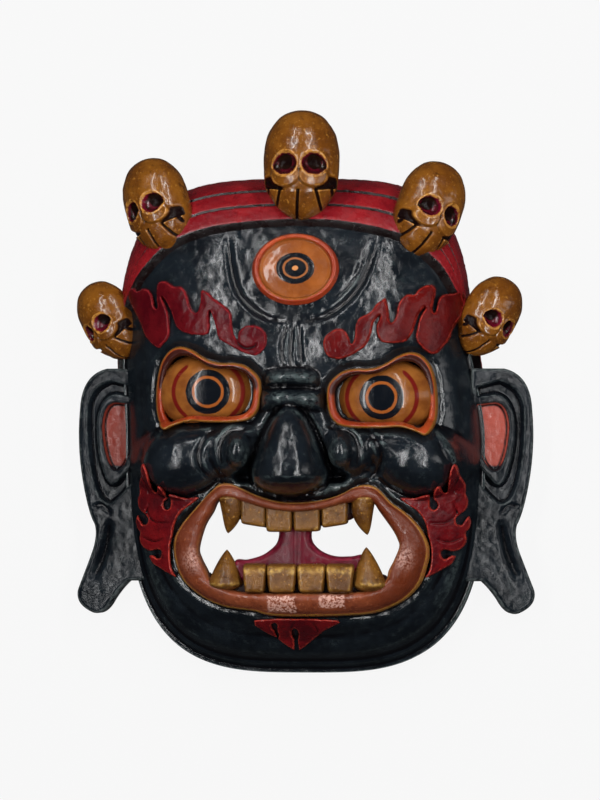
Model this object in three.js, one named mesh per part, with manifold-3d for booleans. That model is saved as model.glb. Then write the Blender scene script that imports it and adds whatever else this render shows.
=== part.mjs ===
// A carved wooden cham mask: a hollow head with flame brows, a third eye, bared teeth, long-lobed
// ears and a headband that carries five skulls. Millimetres. It lies on its back rim, at z = 0, with
// the face up (+Z), the crown towards +Y and its own left ear towards +X.

import * as THREE from "three";
import { mergeVertices } from "three/addons/utils/BufferGeometryUtils.js";
import Module from "manifold-3d";

const wasm = await Module();
wasm.setup();

// Driving dimensions
const head = { halfWidth: 134.5, halfHeight: 182.5, depth: 92 };
const wall = 12;
const bandThickness = 6;
const browThickness = 6;
const flameThickness = 4;
const lidThickness = 6;
const eyeRecess = 7;
const lipThickness = 9;
const earThickness = 15;
const earRecess = 7;
const forehead = { grooveWidth: 4.5, grooveDepth: 3.5 };
const bandGroove = { width: 2.6, depth: 3 };

// The carving is drawn on a head of this size, and keeps its proportions on any other.
const drawn = { halfWidth: 134.5, halfHeight: 182.5, depth: 92, centreY: -27 };
const grid = {
  x: head.halfWidth / drawn.halfWidth,
  y: head.halfHeight / drawn.halfHeight,
  z: head.depth / drawn.depth,
};
const centreY = drawn.centreY * grid.y;

// The plan is a superellipse, squarer at the crown than at the jaw, and the depth falls off from the
// middle as another.
const squareness = { crown: 3.9, jaw: 3.3 };
const swell = 2.4;
// Towards the crown the head leans a little to one side: what its half width loses on its own left
// and on its right, between two heights in degrees.
const lean = { left: 14, right: -4, from: -5, to: 38 };

// Solids

function solid(geometry) {
  const bare = geometry.clone();
  bare.deleteAttribute("normal");
  bare.deleteAttribute("uv");
  const merged = mergeVertices(bare, 1e-4);
  return new wasm.Manifold(
    new wasm.Mesh({
      numProp: 3,
      vertProperties: new Float32Array(merged.attributes.position.array),
      triVerts: new Uint32Array(merged.index.array),
    })
  );
}

function join(solids) {
  return solids.reduce((whole, next) => whole.add(next));
}

function cut(whole, solids) {
  return solids.reduce((left, next) => left.subtract(next), whole);
}

// An ellipsoid in the drawn grid, its poles along Z.
function bulb([x, y, z], [rx, ry, rz], sides = 12, rings = 6, turn = 0) {
  const ball = new THREE.SphereGeometry(1, sides, rings).rotateX(Math.PI / 2);
  ball.scale(rx, ry, rz).rotateZ(turn);
  ball.translate(x, y, z).scale(grid.x, grid.y, grid.z);
  return solid(ball);
}

// An outline from its start and its strokes: [x, y] is a straight stroke, [bendX, bendY, x, y] a
// curved one. side is -1 to draw it mirrored.
function outline(side, start, ...strokes) {
  const shape = new THREE.Shape();
  shape.moveTo(side * start[0] * grid.x, start[1] * grid.y);
  for (const [a, b, c, d] of strokes) {
    if (c === undefined) shape.lineTo(side * a * grid.x, b * grid.y);
    else shape.quadraticCurveTo(side * a * grid.x, b * grid.y, side * c * grid.x, d * grid.y);
  }
  return shape;
}

// A smooth closed or open curve through a few points of the drawn grid.
function smooth(points, closed, steps) {
  const curve = new THREE.CatmullRomCurve3(
    points.map(([x, y]) => new THREE.Vector3(x * grid.x, y * grid.y, 0)),
    closed,
    "centripetal"
  );
  const run = curve.getPoints(steps);
  if (closed) run.pop();
  return run.map((p) => new THREE.Vector2(p.x, p.y));
}

// The outline of a stroke of one width along a run of points, pointed at its ends if it tapers.
function ribbon(run, width, tapers = false) {
  const edge = (side) =>
    run.map((p, i) => {
      const before = run[Math.max(i - 1, 0)];
      const after = run[Math.min(i + 1, run.length - 1)];
      const along = after.clone().sub(before).normalize();
      const share = tapers ? 0.25 + 0.75 * Math.sin((Math.PI * i) / (run.length - 1)) : 1;
      const half = (side * share * width) / 2;
      return new THREE.Vector2(p.x - along.y * half, p.y + along.x * half);
    });
  return new THREE.Shape([...edge(1), ...edge(-1).reverse()]);
}

// The outline pushed straight through the head, from below z = low to above every feature.
const above = 2 * head.depth;
function prism(shape, low = 0, curveSegments = 2) {
  const geometry = new THREE.ExtrudeGeometry(shape, {
    depth: above - low,
    bevelEnabled: false,
    curveSegments,
  });
  return solid(geometry.translate(0, 0, low));
}

// The head's forms

function planRadius(angle, grow) {
  const power = Math.sin(angle) > 0 ? squareness.crown : squareness.jaw;
  const up = THREE.MathUtils.radToDeg(Math.asin(Math.sin(angle)));
  const lost = (Math.cos(angle) > 0 ? lean.left : lean.right) * THREE.MathUtils.smoothstep(up, lean.from, lean.to);
  const across = Math.abs(Math.cos(angle)) / (head.halfWidth - lost * grid.x + grow);
  const along = Math.abs(Math.sin(angle)) / (head.halfHeight + grow);
  return (across ** power + along ** power) ** (-1 / power);
}

function domeShare(x, y, grow) {
  return Math.hypot(x, y - centreY) / planRadius(Math.atan2(y - centreY, x), grow);
}

// A closed dome on the head's plan, grown outwards by grow (or shrunk), down to z = floor.
const domeSides = 36;
const domeRings = 6;
function dome(grow, floor) {
  const points = [0, centreY, head.depth + grow];
  const faces = [];
  const depth = head.depth + grow;
  const ringCount = domeRings + 1;
  for (let ring = 1; ring <= ringCount; ring++) {
    const share = Math.min(1, Math.sin((Math.PI / 2) * (ring / domeRings)));
    const height = ring > domeRings ? 0 : depth * Math.max(0, 1 - share ** swell) ** (1 / swell);
    const z = ring >= domeRings ? (ring > domeRings ? floor : Math.max(0, floor)) : height;
    for (let side = 0; side < domeSides; side++) {
      const angle = (2 * Math.PI * side) / domeSides;
      const radius = (ring > domeRings ? 1 : share) * planRadius(angle, grow);
      points.push(radius * Math.cos(angle), centreY + radius * Math.sin(angle), z);
    }
  }
  const at = (ring, side) => 1 + (ring - 1) * domeSides + (side % domeSides);
  for (let side = 0; side < domeSides; side++) {
    faces.push(0, at(1, side), at(1, side + 1));
    for (let ring = 1; ring < ringCount; ring++) {
      faces.push(at(ring, side), at(ring + 1, side), at(ring + 1, side + 1));
      faces.push(at(ring, side), at(ring + 1, side + 1), at(ring, side + 1));
    }
    faces.push(points.length / 3, at(ringCount, side + 1), at(ringCount, side));
  }
  points.push(0, centreY, floor);
  const geometry = new THREE.BufferGeometry();
  geometry.setAttribute("position", new THREE.Float32BufferAttribute(points, 3));
  geometry.setIndex(faces);
  return solid(geometry);
}

// The soft hills on the dome: centre and radii in the drawn grid.
const muzzle = { at: [0, -120, 38], radii: [108, 64, 58] };
const cheek = { at: [82, -50, 74], radii: [35, 27, 31] };
const hillGrain = [16, 8];
const hills = [muzzle, cheek, { at: [-cheek.at[0], ...cheek.at.slice(1)], radii: cheek.radii }];

const forms = new Map();
// The head with its hills, grown outwards by grow. Patches of relief are cut from it.
function form(grow) {
  if (!forms.has(grow)) {
    const grown = ({ at, radii }) => bulb(at, radii.map((r) => r + grow), ...hillGrain);
    forms.set(grow, join([dome(grow, -eyeRecess), ...hills.map(grown)]));
  }
  return forms.get(grow);
}

// The height of the head's skin at a place in the drawn grid.
function skin(x, y) {
  const share = Math.min(1, domeShare(x * grid.x, y * grid.y, 0));
  let height = drawn.depth * (1 - share ** swell) ** (1 / swell);
  for (const { at, radii } of hills) {
    const away = ((x - at[0]) / radii[0]) ** 2 + ((y - at[1]) / radii[1]) ** 2;
    if (away < 1) height = Math.max(height, at[2] + radii[2] * Math.sqrt(1 - away));
  }
  return height;
}

const raised = (shape, thickness) => prism(shape, wall).intersect(form(thickness));
const sunk = (shape, depth) => prism(shape, wall).subtract(form(-depth));

// Mouth: the lips run round from the outer to the inner curve, each drawn through points that share
// their order.
const lipOuter = [
  [0, -83.5], [30, -78], [53, -69], [70, -82], [92, -105], [94, -136], [72, -158], [40, -165], [0, -169],
];
const lipInner = [
  [0, -90.5], [32, -86], [57, -80], [64.5, -96], [73, -114], [69, -134], [57, -146], [36, -152], [0, -152.5],
];
const mirrored = (points) => [
  ...points,
  ...points.slice(1, -1).reverse().map(([x, y]) => [-x, y]),
];
const lipSteps = 30;
const outerRun = smooth(mirrored(lipOuter), true, lipSteps);
const innerRun = smooth(mirrored(lipInner), true, lipSteps);

function lips() {
  const deep = head.depth - 2.5 * wall;
  const profile = [
    [0, deep, 0],
    [0, null, 2],
    [0.3, null, lipThickness],
    [0.72, null, lipThickness],
    [1, null, 2],
    [1, deep, 0],
  ];
  const points = [];
  const faces = [];
  outerRun.forEach((outer, step) => {
    const inner = innerRun[step];
    for (const [share, fixed, lift] of profile) {
      const p = outer.clone().lerp(inner, share);
      const z = fixed ?? (skin(p.x / grid.x, p.y / grid.y) * grid.z + lift);
      points.push(p.x, p.y, z);
      const here = step * profile.length;
      const next = ((step + 1) % lipSteps) * profile.length;
      const k = points.length / 3 - 1 - here;
      const l = (k + 1) % profile.length;
      faces.push(here + k, next + k, next + l, here + k, next + l, here + l);
    }
  });
  const geometry = new THREE.BufferGeometry();
  geometry.setAttribute("position", new THREE.Float32BufferAttribute(points, 3));
  geometry.setIndex(faces);
  const ring = solid(geometry);
  if (ring.volume() > 0) return ring;
  geometry.setIndex(faces.reverse());
  return solid(geometry);
}

const mouthHole = () =>
  prism(new THREE.Shape(outerRun.map((p, i) => p.clone().lerp(innerRun[i], 0.55))), -wall);

// A block of the drawn grid: its footprint pushed up from z = low, its top sloping by the heights at
// its crown end and its jaw end.
function block([x0, x1], [y0, y1], low, [zJaw, zCrown], narrowing = 0) {
  const box = new THREE.BoxGeometry(1, 1, 1);
  const spots = box.attributes.position;
  for (let i = 0; i < spots.count; i++) {
    const [right, up, front] = [spots.getX(i) > 0, spots.getY(i) > 0, spots.getZ(i) > 0];
    const middle = (x0 + x1) / 2;
    const half = ((x1 - x0) / 2) * (up ? 1 : 1 - narrowing) - (front ? 1 : 0);
    const z = front ? (up ? zCrown : zJaw) : low;
    spots.setXYZ(i, (middle + (right ? half : -half)) * grid.x, (up ? y1 : y0) * grid.y, z * grid.z);
  }
  return solid(box);
}

// A fang: a four-sided spike from its base up or down to its tip.
function fang(side, [x, y], halfBase, tip, low, height) {
  const spike = new THREE.ConeGeometry(halfBase * 1.2, Math.abs(tip - y), 8);
  if (tip < y) spike.rotateZ(Math.PI);
  spike.scale(1, 1, 1.15).translate(side * x, (y + tip) / 2, height);
  spike.scale(grid.x, grid.y, grid.z);
  const root = block([side * x - halfBase, side * x + halfBase], [
    Math.min(y - 6, y + 6), y + 6,
  ], low, [height + 4, height + 4]);
  return solid(spike).add(root);
}

const teeth = { count: 4, width: 19.2, gap: 1.2, low: 60 };
function toothRow(make) {
  const pitch = teeth.width + teeth.gap;
  return Array.from({ length: teeth.count }, (_, i) => {
    const middle = (i - (teeth.count - 1) / 2) * pitch;
    return make([middle - teeth.width / 2, middle + teeth.width / 2], middle);
  });
}

function mouth() {
  const upper = toothRow((span, middle) =>
    block(span, [-106 + Math.abs(middle) * 0.12, -84], teeth.low, [96, 99], 0.06)
  );
  const lower = toothRow((span) => [
    block(span, [-154, -135.5], teeth.low, [97, 93]),
    block(span, [-136, -128.5], teeth.low, [93, 80]),
  ]);
  const fangs = [-1, 1].flatMap((side) => [
    fang(side, [51, -84], 8.5, -108, teeth.low, 88),
    fang(side, [55, -146], 12, -121, teeth.low, 84),
  ]);
  const gums = [
    block([-54, 54], [-99, -80], teeth.low, [88, 90]),
    block([-52, 52], [-152, -131], teeth.low, [86, 76]),
  ];
  const tongue = raisedTongue();
  return join([...upper, ...lower.flat(), ...fangs, ...gums, tongue]);
}

function raisedTongue() {
  const shape = outline(
    1, [-13.5, -96], [-15, -118, -38, -128], [-38, -138], [38, -138], [38, -128], [14, -118, 12, -96]
  );
  const geometry = new THREE.ExtrudeGeometry(shape, {
    depth: (84 - teeth.low) * grid.z,
    bevelEnabled: false,
    curveSegments: 4,
  });
  return solid(geometry.translate(0, 0, teeth.low * grid.z));
}

// Eyes: the lids stand round an opening, with the ball bulging in it.
const eye = { x: 64.3, y: -2, midline: -2.9, tilt: 2.1, ball: [37, 26, 24] };
const lid = [
  [33, -28], [40, -10], [38, 18], [21, 34], [4, 26], [-11, 21.5],
  [-28, 19.5], [-39.5, 9], [-39, -9], [-31, -20.5], [0, -22.6], [18, -22.5],
];
const opening = { x: 0.86, y: 0.79 };
const eyeAt = (side) => [eye.midline + side * eye.x, eye.y - side * eye.tilt];

function lidShape(side, [shareX, shareY]) {
  const [x, y] = eyeAt(side);
  const points = lid.map(([dx, dy]) => [x + side * dx * shareX, y + dy * shareY]);
  return new THREE.Shape(smooth(points, true, 20));
}

const lids = (side) => raised(lidShape(side, [1, 1]), lidThickness);
const eyeSocket = (side) => sunk(lidShape(side, [opening.x, opening.y]), eyeRecess);
function eyeball(side) {
  const [x, y] = eyeAt(side);
  return bulb([x, y, skin(x, y) + 3 - eye.ball[2]], eye.ball, 14, 8);
}

// Third eye: a dished disc in a round rim, lying in the forehead's slope.
const thirdEye = { at: [0.7, 90.8], radius: 31.2, squash: 0.82, rim: 5, lean: 0.3 };
function middleEye() {
  const r = thirdEye.radius;
  const profile = [
    [0, -14], [r, -14], [r, 1], [r - 1.5, 3.5], [r - thirdEye.rim + 1, 3.5],
    [r - thirdEye.rim, 0.5], [r * 0.5, 2.2], [0, 3],
  ];
  const disc = new THREE.LatheGeometry(profile.map(([x, y]) => new THREE.Vector2(x, y)), 18);
  const [x, y] = thirdEye.at;
  disc.rotateX(Math.PI / 2).scale(1, thirdEye.squash, 1).rotateX(-thirdEye.lean);
  disc.translate(x, y, skin(x, y) + 0.5).scale(grid.x, grid.y, grid.z);
  return solid(disc);
}

// Brows: three flame tongues swept outwards and a curl towards the nose, not quite alike.
const brows = [
  [
    [-131.5, 74], [-129.5, 77], [-126.5, 77.5], [-123, 75.5], [-119, 77], [-115, 76.5], [-111.5, 73.5],
    [-108.5, 63.5], [-107, 62], [-107, 79], [-105, 82], [-101, 82.5], [-94, 78.5], [-89, 78.5], [-85.5, 76],
    [-80, 62], [-77, 59], [-75, 60.5], [-73, 74.5], [-71, 75.5], [-67, 74], [-50, 58.5], [-48.5, 48],
    [-46, 40], [-44, 46], [-39.5, 49], [-33.5, 49.5], [-27.5, 47.5], [-22.5, 40], [-23.5, 34], [-31, 26.5],
    [-37.5, 27.5], [-52, 34.5], [-60, 41], [-63, 53.5], [-66, 58.5], [-66, 44], [-68.5, 41.5], [-81.5, 42.5],
    [-87.5, 44.5], [-91.5, 48], [-98.5, 64.5], [-97, 58], [-96, 43.5], [-105, 32], [-110, 35], [-117.5, 43.5],
    [-129.5, 67],
  ],
  [
    [23.5, 44.5], [31.5, 47], [35.5, 45], [39, 36.5], [42, 43], [43, 51.5], [45.5, 55], [54.5, 61], [57, 65],
    [63.5, 69.5], [68, 51.5], [70, 52.5], [73, 64.5], [75.5, 69.5], [80, 72], [84.5, 72], [91.5, 78.5],
    [96.5, 79.5], [99.5, 77.5], [97.5, 61.5], [99, 59], [101.5, 67.5], [104, 71.5], [112.5, 73], [116, 75],
    [119.5, 74], [121, 69.5], [118, 57], [111.5, 46], [109.5, 39], [100.5, 28.5], [95.5, 28.5], [85.5, 40.5],
    [88, 54.5], [82, 40.5], [78.5, 37], [64.5, 35.5], [57.5, 43], [57.5, 51], [54.5, 43], [49, 32.5],
    [37, 25.5], [30, 24], [23.5, 25], [18.5, 33], [20.5, 42],
  ],
];
const brow = ([start, ...points]) => raised(outline(1, start, ...points), browThickness);

// Cheek flames, round the corners of the mouth, and the small one on the chin.
const cheekFlame = (side) =>
  raised(
    outline(
      side, [118, -54], [125, -62, 121, -73], [130, -79, 125, -90], [131, -99, 123.5, -107],
      [127, -117, 117, -125], [113, -134, 95, -139], [100, -125, 97, -110], [92, -95, 77, -80],
      [88, -76, 96, -80], [102, -88], [111, -78, 109, -72], [110, -62, 118, -54]
    ),
    flameThickness
  );
const chinFlame = () =>
  raised(outline(1, [-31, -164], [-27, -176], [-16, -180, 1, -195], [17, -181, 28, -177], [33, -164]), 3);

// Nose: a long pear-shaped bulb with two wings, a bridge, and two rolls of skin between the eyes.
const nose = { x: -2, tip: [29, 23.5, 46] };
function noseForms() {
  const wings = [-1, 1].map((side) => bulb([nose.x + side * 37, -46, 82], [15, 16, 29], 10, 6));
  const nostrils = [-1, 1].map((side) => bulb([nose.x + side * 28, -68, 100], [9, 7, 18], 6, 4));
  const whole = join([
    bulb([nose.x, -48, 92], nose.tip, 14, 8),
    bulb([nose.x, -30, 90], [20, 29, 46], 12, 8),
    bulb([nose.x, 2, 68], [21, 34, 34], 12, 6),
    bulb([nose.x, 9.5, 84], [24, 8.6, 23]),
    bulb([nose.x, -6.5, 86], [26, 9.4, 25]),
    bulb([nose.x, -52, 80], [46, 22, 24], 12, 6),
    ...wings,
  ]);
  return { whole, nostrils };
}

// Forehead: two long grooves sweep from the brows' inner ends up beside the third eye, and three
// short frown lines stand between them.
const sweep = [[52, 112], [47, 88], [38, 70], [23, 57], [3, 52]];
const frowns = [-10, -3, 4];
function foreheadGrooves() {
  const { grooveWidth, grooveDepth } = forehead;
  const run = (points, steps) => smooth(points, false, steps);
  const long = [-1, 1].map((side) =>
    sunk(ribbon(run(sweep.map(([x, y]) => [side * x, y]), 10), grooveWidth, true), grooveDepth)
  );
  const short = frowns.map((x) =>
    sunk(ribbon(run([[x * 0.6, 48], [x, 32], [x * 1.1, 18]], 4), grooveWidth * 0.6, true), grooveDepth)
  );
  return [...long, ...short];
}

// Jaw: a groove sets off its outer rim.
const jaw = { groove: 0.945, width: 3, depth: 3, from: 200, to: 340 };
function jawGroove() {
  const steps = 12;
  const run = Array.from({ length: steps + 1 }, (_, i) => {
    const angle = THREE.MathUtils.degToRad(jaw.from + ((jaw.to - jaw.from) * i) / steps);
    const radius = jaw.groove * planRadius(angle, 0);
    return new THREE.Vector2(radius * Math.cos(angle), centreY + radius * Math.sin(angle));
  });
  return sunk(ribbon(run, jaw.width, true), jaw.depth);
}

// Headband: from the head's outline to its lower edge, with two grooves between.
const bandEdge = [
  [126, 14], [119, 45], [106, 77], [94, 94], [77, 108.5], [50, 117.5], [0, 122.5],
  [-55, 118.5], [-86, 110], [-106, 96], [-122, 76], [-132, 45], [-138, 14],
];
const bandRun = smooth(bandEdge, false, 22);
const bandOuter = bandRun.map((p) => {
  const radius = planRadius(Math.atan2(p.y - centreY, p.x), 0);
  const away = Math.hypot(p.x, p.y - centreY);
  return new THREE.Vector2(p.x, p.y - centreY).multiplyScalar(radius / away).add({ x: 0, y: centreY });
});
function headband() {
  const clear = 2 * bandThickness;
  const beyond = bandOuter.map((p) =>
    new THREE.Vector2(p.x, p.y - centreY).multiplyScalar(1 + clear / head.halfWidth).add({ x: 0, y: centreY })
  );
  const band = raised(new THREE.Shape([...bandRun, ...beyond.reverse()]), bandThickness);
  const grooves = [1 / 3, 2 / 3].map((share) => {
    const run = bandRun.map((p, i) => p.clone().lerp(bandOuter[i], share)).slice(2, -2);
    return prism(ribbon(run, bandGroove.width), wall).subtract(form(bandThickness - bandGroove.depth));
  });
  return { band, grooves };
}

// Skulls: the same skull on each place, turned to follow the band.
const skullDrawn = { halfWidth: 28, crown: 36.5, chin: 46, halfDepth: 25 };
const skulls = [
  { at: [0, 173, 57], size: 1, roll: 0, yaw: 0, lean: -8 },
  { at: [-107, 145, 44], size: 0.9, roll: 25, yaw: -30, lean: -16 },
  { at: [95, 139, 46], size: 0.9, roll: -27, yaw: 30, lean: -16 },
  { at: [-147, 60, 32], size: 0.77, roll: 45, yaw: -40, lean: -12 },
  { at: [138, 62, 32], size: 0.77, roll: -40, yaw: 40, lean: -12 },
];
const skullProfile = [
  [0, 36.5], [16, 32], [26, 19], [28.2, 3], [23, -21], [19, -36], [13, -45], [0, -46],
];

function skull({ at, size, roll, yaw, lean }) {
  const turned = new THREE.Matrix4()
    .multiply(new THREE.Matrix4().makeRotationZ(THREE.MathUtils.degToRad(roll)))
    .multiply(new THREE.Matrix4().makeRotationY(THREE.MathUtils.degToRad(yaw)))
    .multiply(new THREE.Matrix4().makeRotationX(THREE.MathUtils.degToRad(lean)))
    .scale(new THREE.Vector3(size, size, size));
  turned.setPosition(...at);
  const put = (geometry) => solid(geometry.applyMatrix4(turned).scale(grid.x, grid.y, grid.z));
  const ball = ([x, y, z], [rx, ry, rz], sides, rings) =>
    put(new THREE.SphereGeometry(1, sides, rings).scale(rx, ry, rz).translate(x, y, z));
  const profile = skullProfile.map(([x, y]) => new THREE.Vector2(x, -y));
  const cranium = new THREE.LatheGeometry(profile, 10).rotateZ(Math.PI);
  cranium.scale(1, 1, skullDrawn.halfDepth / skullDrawn.halfWidth);
  const front = skullDrawn.halfDepth;
  const bones = [-1, 1].map((side) => ball([side * 14, -14, front - 9], [8, 5, 8], 6, 4));
  const sockets = [-1, 1].map((side) => ball([side * 10.7, -2.5, front - 1], [8, 7.5, 8], 8, 4));
  const wedge = ([x, y], halfWidth, height, turn) =>
    put(
      new THREE.ConeGeometry(halfWidth, height, 4)
        .scale(1, 1, 2.4)
        .rotateZ(turn)
        .translate(x, y, skullDrawn.halfDepth * 0.72)
    );
  const noseGap = wedge([0, -12], 3.6, 9, 0);
  const gaps = [-1, 0, 1].map((i) => wedge([i * 8, -36], 1.6, 26, i * 0.22));
  return cut(join([put(cranium), ...bones]), [...sockets, noseGap, ...gaps]);
}

// Ears: a slab with a rolled rim round a hollow, an inner ridge, and a slit down the long lobe.
const ear = { low: 14, swing: 0.16 };
const earOutline = [
  [116, 17.6], [147, 17.5], [167, 13, 168, -14], [171, -46, 163, -80], [160, -93, 156.5, -99],
  [154, -108, 159, -121], [164, -134, 169.5, -148], [172, -159, 158, -165], [149, -168, 142, -155],
  [136, -146, 130, -141], [116, -141],
];
const earHollow = [
  [131, 4], [143, 8.5], [159, 5, 161.5, -12], [163, -44, 156, -70], [150, -88, 141, -82], [133, -66],
];
const earInner = [
  [131, -6], [140, -3.5], [153, -4, 154.5, -24], [154, -48, 147, -62], [141, -70, 133, -54],
];
const earCore = [[131, -12], [139, -10], [149, -10, 149, -26], [148, -46, 142, -54], [138, -58, 133, -46]];
const earSlit = [[143.5, -98], [147, -100, 151, -118], [158, -138], [154, -141], [145, -122, 142.5, -100]];

function earForm(side) {
  const slab = (strokes, low, high, segments = 2) => {
    const shape = outline(side, strokes[0], ...strokes.slice(1));
    const geometry = new THREE.ExtrudeGeometry(shape, {
      depth: high - low, bevelEnabled: false, curveSegments: segments,
    });
    geometry.translate(-side * head.halfWidth, 0, low);
    geometry.rotateY(side * ear.swing).translate(side * head.halfWidth, 0, ear.low * grid.z);
    return solid(geometry);
  };
  const top = earThickness;
  const shell = slab(earOutline, 0, top, 3).subtract(slab(earHollow, top - earRecess, 2 * top));
  const ridge = slab(earInner, 2, top - 1).subtract(slab(earCore, top - earRecess, 2 * top));
  return shell.add(ridge).subtract(slab(earSlit, top - earRecess, 2 * top));
}

// The hollow for the wearer's face, with a deeper pocket behind the nose. It is cut last, so that
// nothing hangs into it.
function hollow() {
  const pocket = bulb([nose.x, -46, 70], [22, 26, 44], 14, 8);
  return [dome(-wall, -wall), pocket];
}

function mask() {
  const { whole: noseWhole, nostrils } = noseForms();
  const { band, grooves } = headband();
  const sides = [-1, 1];
  const base = cut(dome(0, 0).add(join(hills.map(({ at, radii }) => bulb(at, radii, ...hillGrain)))), [
    ...foreheadGrooves(), jawGroove(),
  ]);
  const sockets = sides.map(eyeSocket);
  let whole = join([base, ...sides.map(lids), middleEye()]);
  whole = cut(whole, sockets);
  whole = join([whole, ...sides.map(eyeball), noseWhole]);
  whole = cut(whole, [...nostrils, mouthHole()]);
  whole = join([whole, lips(), mouth(), ...sides.map(cheekFlame), chinFlame(), ...brows.map(brow)]);
  whole = cut(whole.add(band), grooves);
  whole = join([whole, ...sides.map(earForm), ...skulls.map(skull)]);
  return cut(whole, [...hollow(), belowFloor()]);
}

// Everything under the back rim's plane, which planes the rim flat.
function belowFloor() {
  const span = 4 * head.halfHeight;
  return solid(new THREE.BoxGeometry(span, span, head.depth).translate(0, 0, -head.depth / 2));
}

// The origin is the middle of the finished outline, on the back rim's plane.
function centred(whole) {
  const { min, max } = whole.boundingBox();
  return whole.translate([-(min[0] + max[0]) / 2, -(min[1] + max[1]) / 2, 0]);
}

function geometryOf(whole) {
  const mesh = whole.getMesh();
  const geometry = new THREE.BufferGeometry();
  const points = new Float32Array(mesh.numVert * 3);
  for (let i = 0; i < mesh.numVert; i++) {
    points.set(mesh.vertProperties.subarray(i * mesh.numProp, i * mesh.numProp + 3), i * 3);
  }
  geometry.setAttribute("position", new THREE.BufferAttribute(points, 3));
  geometry.setIndex(new THREE.BufferAttribute(new Uint32Array(mesh.triVerts), 1));
  geometry.computeVertexNormals();
  return geometry;
}

const lacqueredWood = new THREE.MeshStandardMaterial({
  color: 0x1c2124,
  roughness: 0.35,
  metalness: 0,
});

const carving = new THREE.Mesh(geometryOf(centred(mask())), lacqueredWood);
carving.name = "mask";

const part = new THREE.Group();
part.add(carving);
export default part;
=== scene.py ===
"""A carved and lacquered cham mask, lying on its back rim. Shapes are worked out in millimetres, in the
grid that the mask's outlines are drawn in, and go to Blender in metres. Every piece follows the skin of
one head: a dome on a superellipse, with soft hills for the muzzle, the cheeks and the nose."""

import math

import bpy
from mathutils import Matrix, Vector
import numpy as np


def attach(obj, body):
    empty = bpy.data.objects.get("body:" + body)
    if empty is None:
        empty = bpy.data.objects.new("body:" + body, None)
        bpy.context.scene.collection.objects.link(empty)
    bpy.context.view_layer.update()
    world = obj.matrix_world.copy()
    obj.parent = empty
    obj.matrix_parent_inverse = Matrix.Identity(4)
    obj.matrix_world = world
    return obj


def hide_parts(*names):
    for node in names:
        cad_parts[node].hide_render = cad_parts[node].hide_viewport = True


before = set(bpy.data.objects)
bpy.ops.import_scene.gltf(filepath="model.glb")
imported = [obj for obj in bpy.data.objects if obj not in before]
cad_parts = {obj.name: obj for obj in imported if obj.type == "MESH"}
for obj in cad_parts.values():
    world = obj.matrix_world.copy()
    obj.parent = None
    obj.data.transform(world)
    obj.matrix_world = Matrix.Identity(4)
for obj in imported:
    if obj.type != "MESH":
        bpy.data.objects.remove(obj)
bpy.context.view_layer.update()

MM = 0.001
MASK = "mask"
LIFT_Y = 0.18  # mm, from the drawn grid to the middle of the finished outline

# The head, in millimetres
HALF_WIDTH, HALF_HEIGHT, DEPTH, CENTRE_Y = 134.5, 182.5, 92.0, -27.0
CROWN_SQUARE, JAW_SQUARE, SWELL = 3.9, 3.3, 2.4
WALL = 12.0
SIDES = (-1, 1)  # left and right as the camera sees them


# Small tools

def smooth_step(low, high, value):
    share = np.clip((value - low) / (high - low), 0.0, 1.0)
    return share * share * (3.0 - 2.0 * share)


def soft_max(a, b, blend):
    """The larger of two heights, rounded over blend millimetres where they meet."""
    share = np.clip(0.5 + 0.5 * (a - b) / blend, 0.0, 1.0)
    return b * (1 - share) + a * share + blend * share * (1.0 - share)


def hash_grid(ix, iy, iz, seed):
    """Random numbers from -1 to 1 at whole-number places, the same on every run."""
    n = (ix * 374761393 + iy * 668265263 + iz * 2147483647 + seed * 144665) & 0xFFFFFFFF
    n = ((n ^ (n >> 13)) * 1274126177) & 0xFFFFFFFF
    n = n ^ (n >> 16)
    return (n & 0xFFFF) / 32767.5 - 1.0


def noise(x, y, z=0.0, size=10.0, seed=0):
    """Smooth value noise, with features about size millimetres across."""
    x, y, z = np.broadcast_arrays(np.asarray(x, float) / size, np.asarray(y, float) / size,
                                  np.asarray(z, float) / size)
    cell = [np.floor(v).astype(np.int64) for v in (x, y, z)]
    part = [v - c for v, c in zip((x, y, z), cell)]
    part = [p * p * (3 - 2 * p) for p in part]
    total = np.zeros(x.shape)
    for dx in (0, 1):
        for dy in (0, 1):
            for dz in (0, 1):
                weight = ((part[0] if dx else 1 - part[0]) * (part[1] if dy else 1 - part[1])
                          * (part[2] if dz else 1 - part[2]))
                total += weight * hash_grid(cell[0] + dx, cell[1] + dy, cell[2] + dz, seed)
    return total


def facets(x, y, z=0.0, size=9.0, seed=0):
    """Chisel facets: each place takes the tilt of its nearest random point, so the cuts meet in ridges."""
    x, y, z = np.broadcast_arrays(np.asarray(x, float) / size, np.asarray(y, float) / size,
                                  np.asarray(z, float) / size)
    cx, cy, cz = [np.floor(v).astype(np.int64) for v in (x, y, z)]
    near = np.full(x.shape, 9.0)
    height = np.zeros(x.shape)
    for dx in (-1, 0, 1):
        for dy in (-1, 0, 1):
            for dz in (-1, 0, 1):
                jx, jy, jz = [hash_grid(cx + dx, cy + dy, cz + dz, seed + k) * 0.4 + 0.5 for k in (1, 2, 3)]
                ox, oy, oz = x - (cx + dx + jx), y - (cy + dy + jy), z - (cz + dz + jz)
                away = ox * ox + oy * oy + oz * oz
                closer = away < near
                near = np.where(closer, away, near)
                height = np.where(closer, 0.5 - away, height)
    return height


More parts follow.
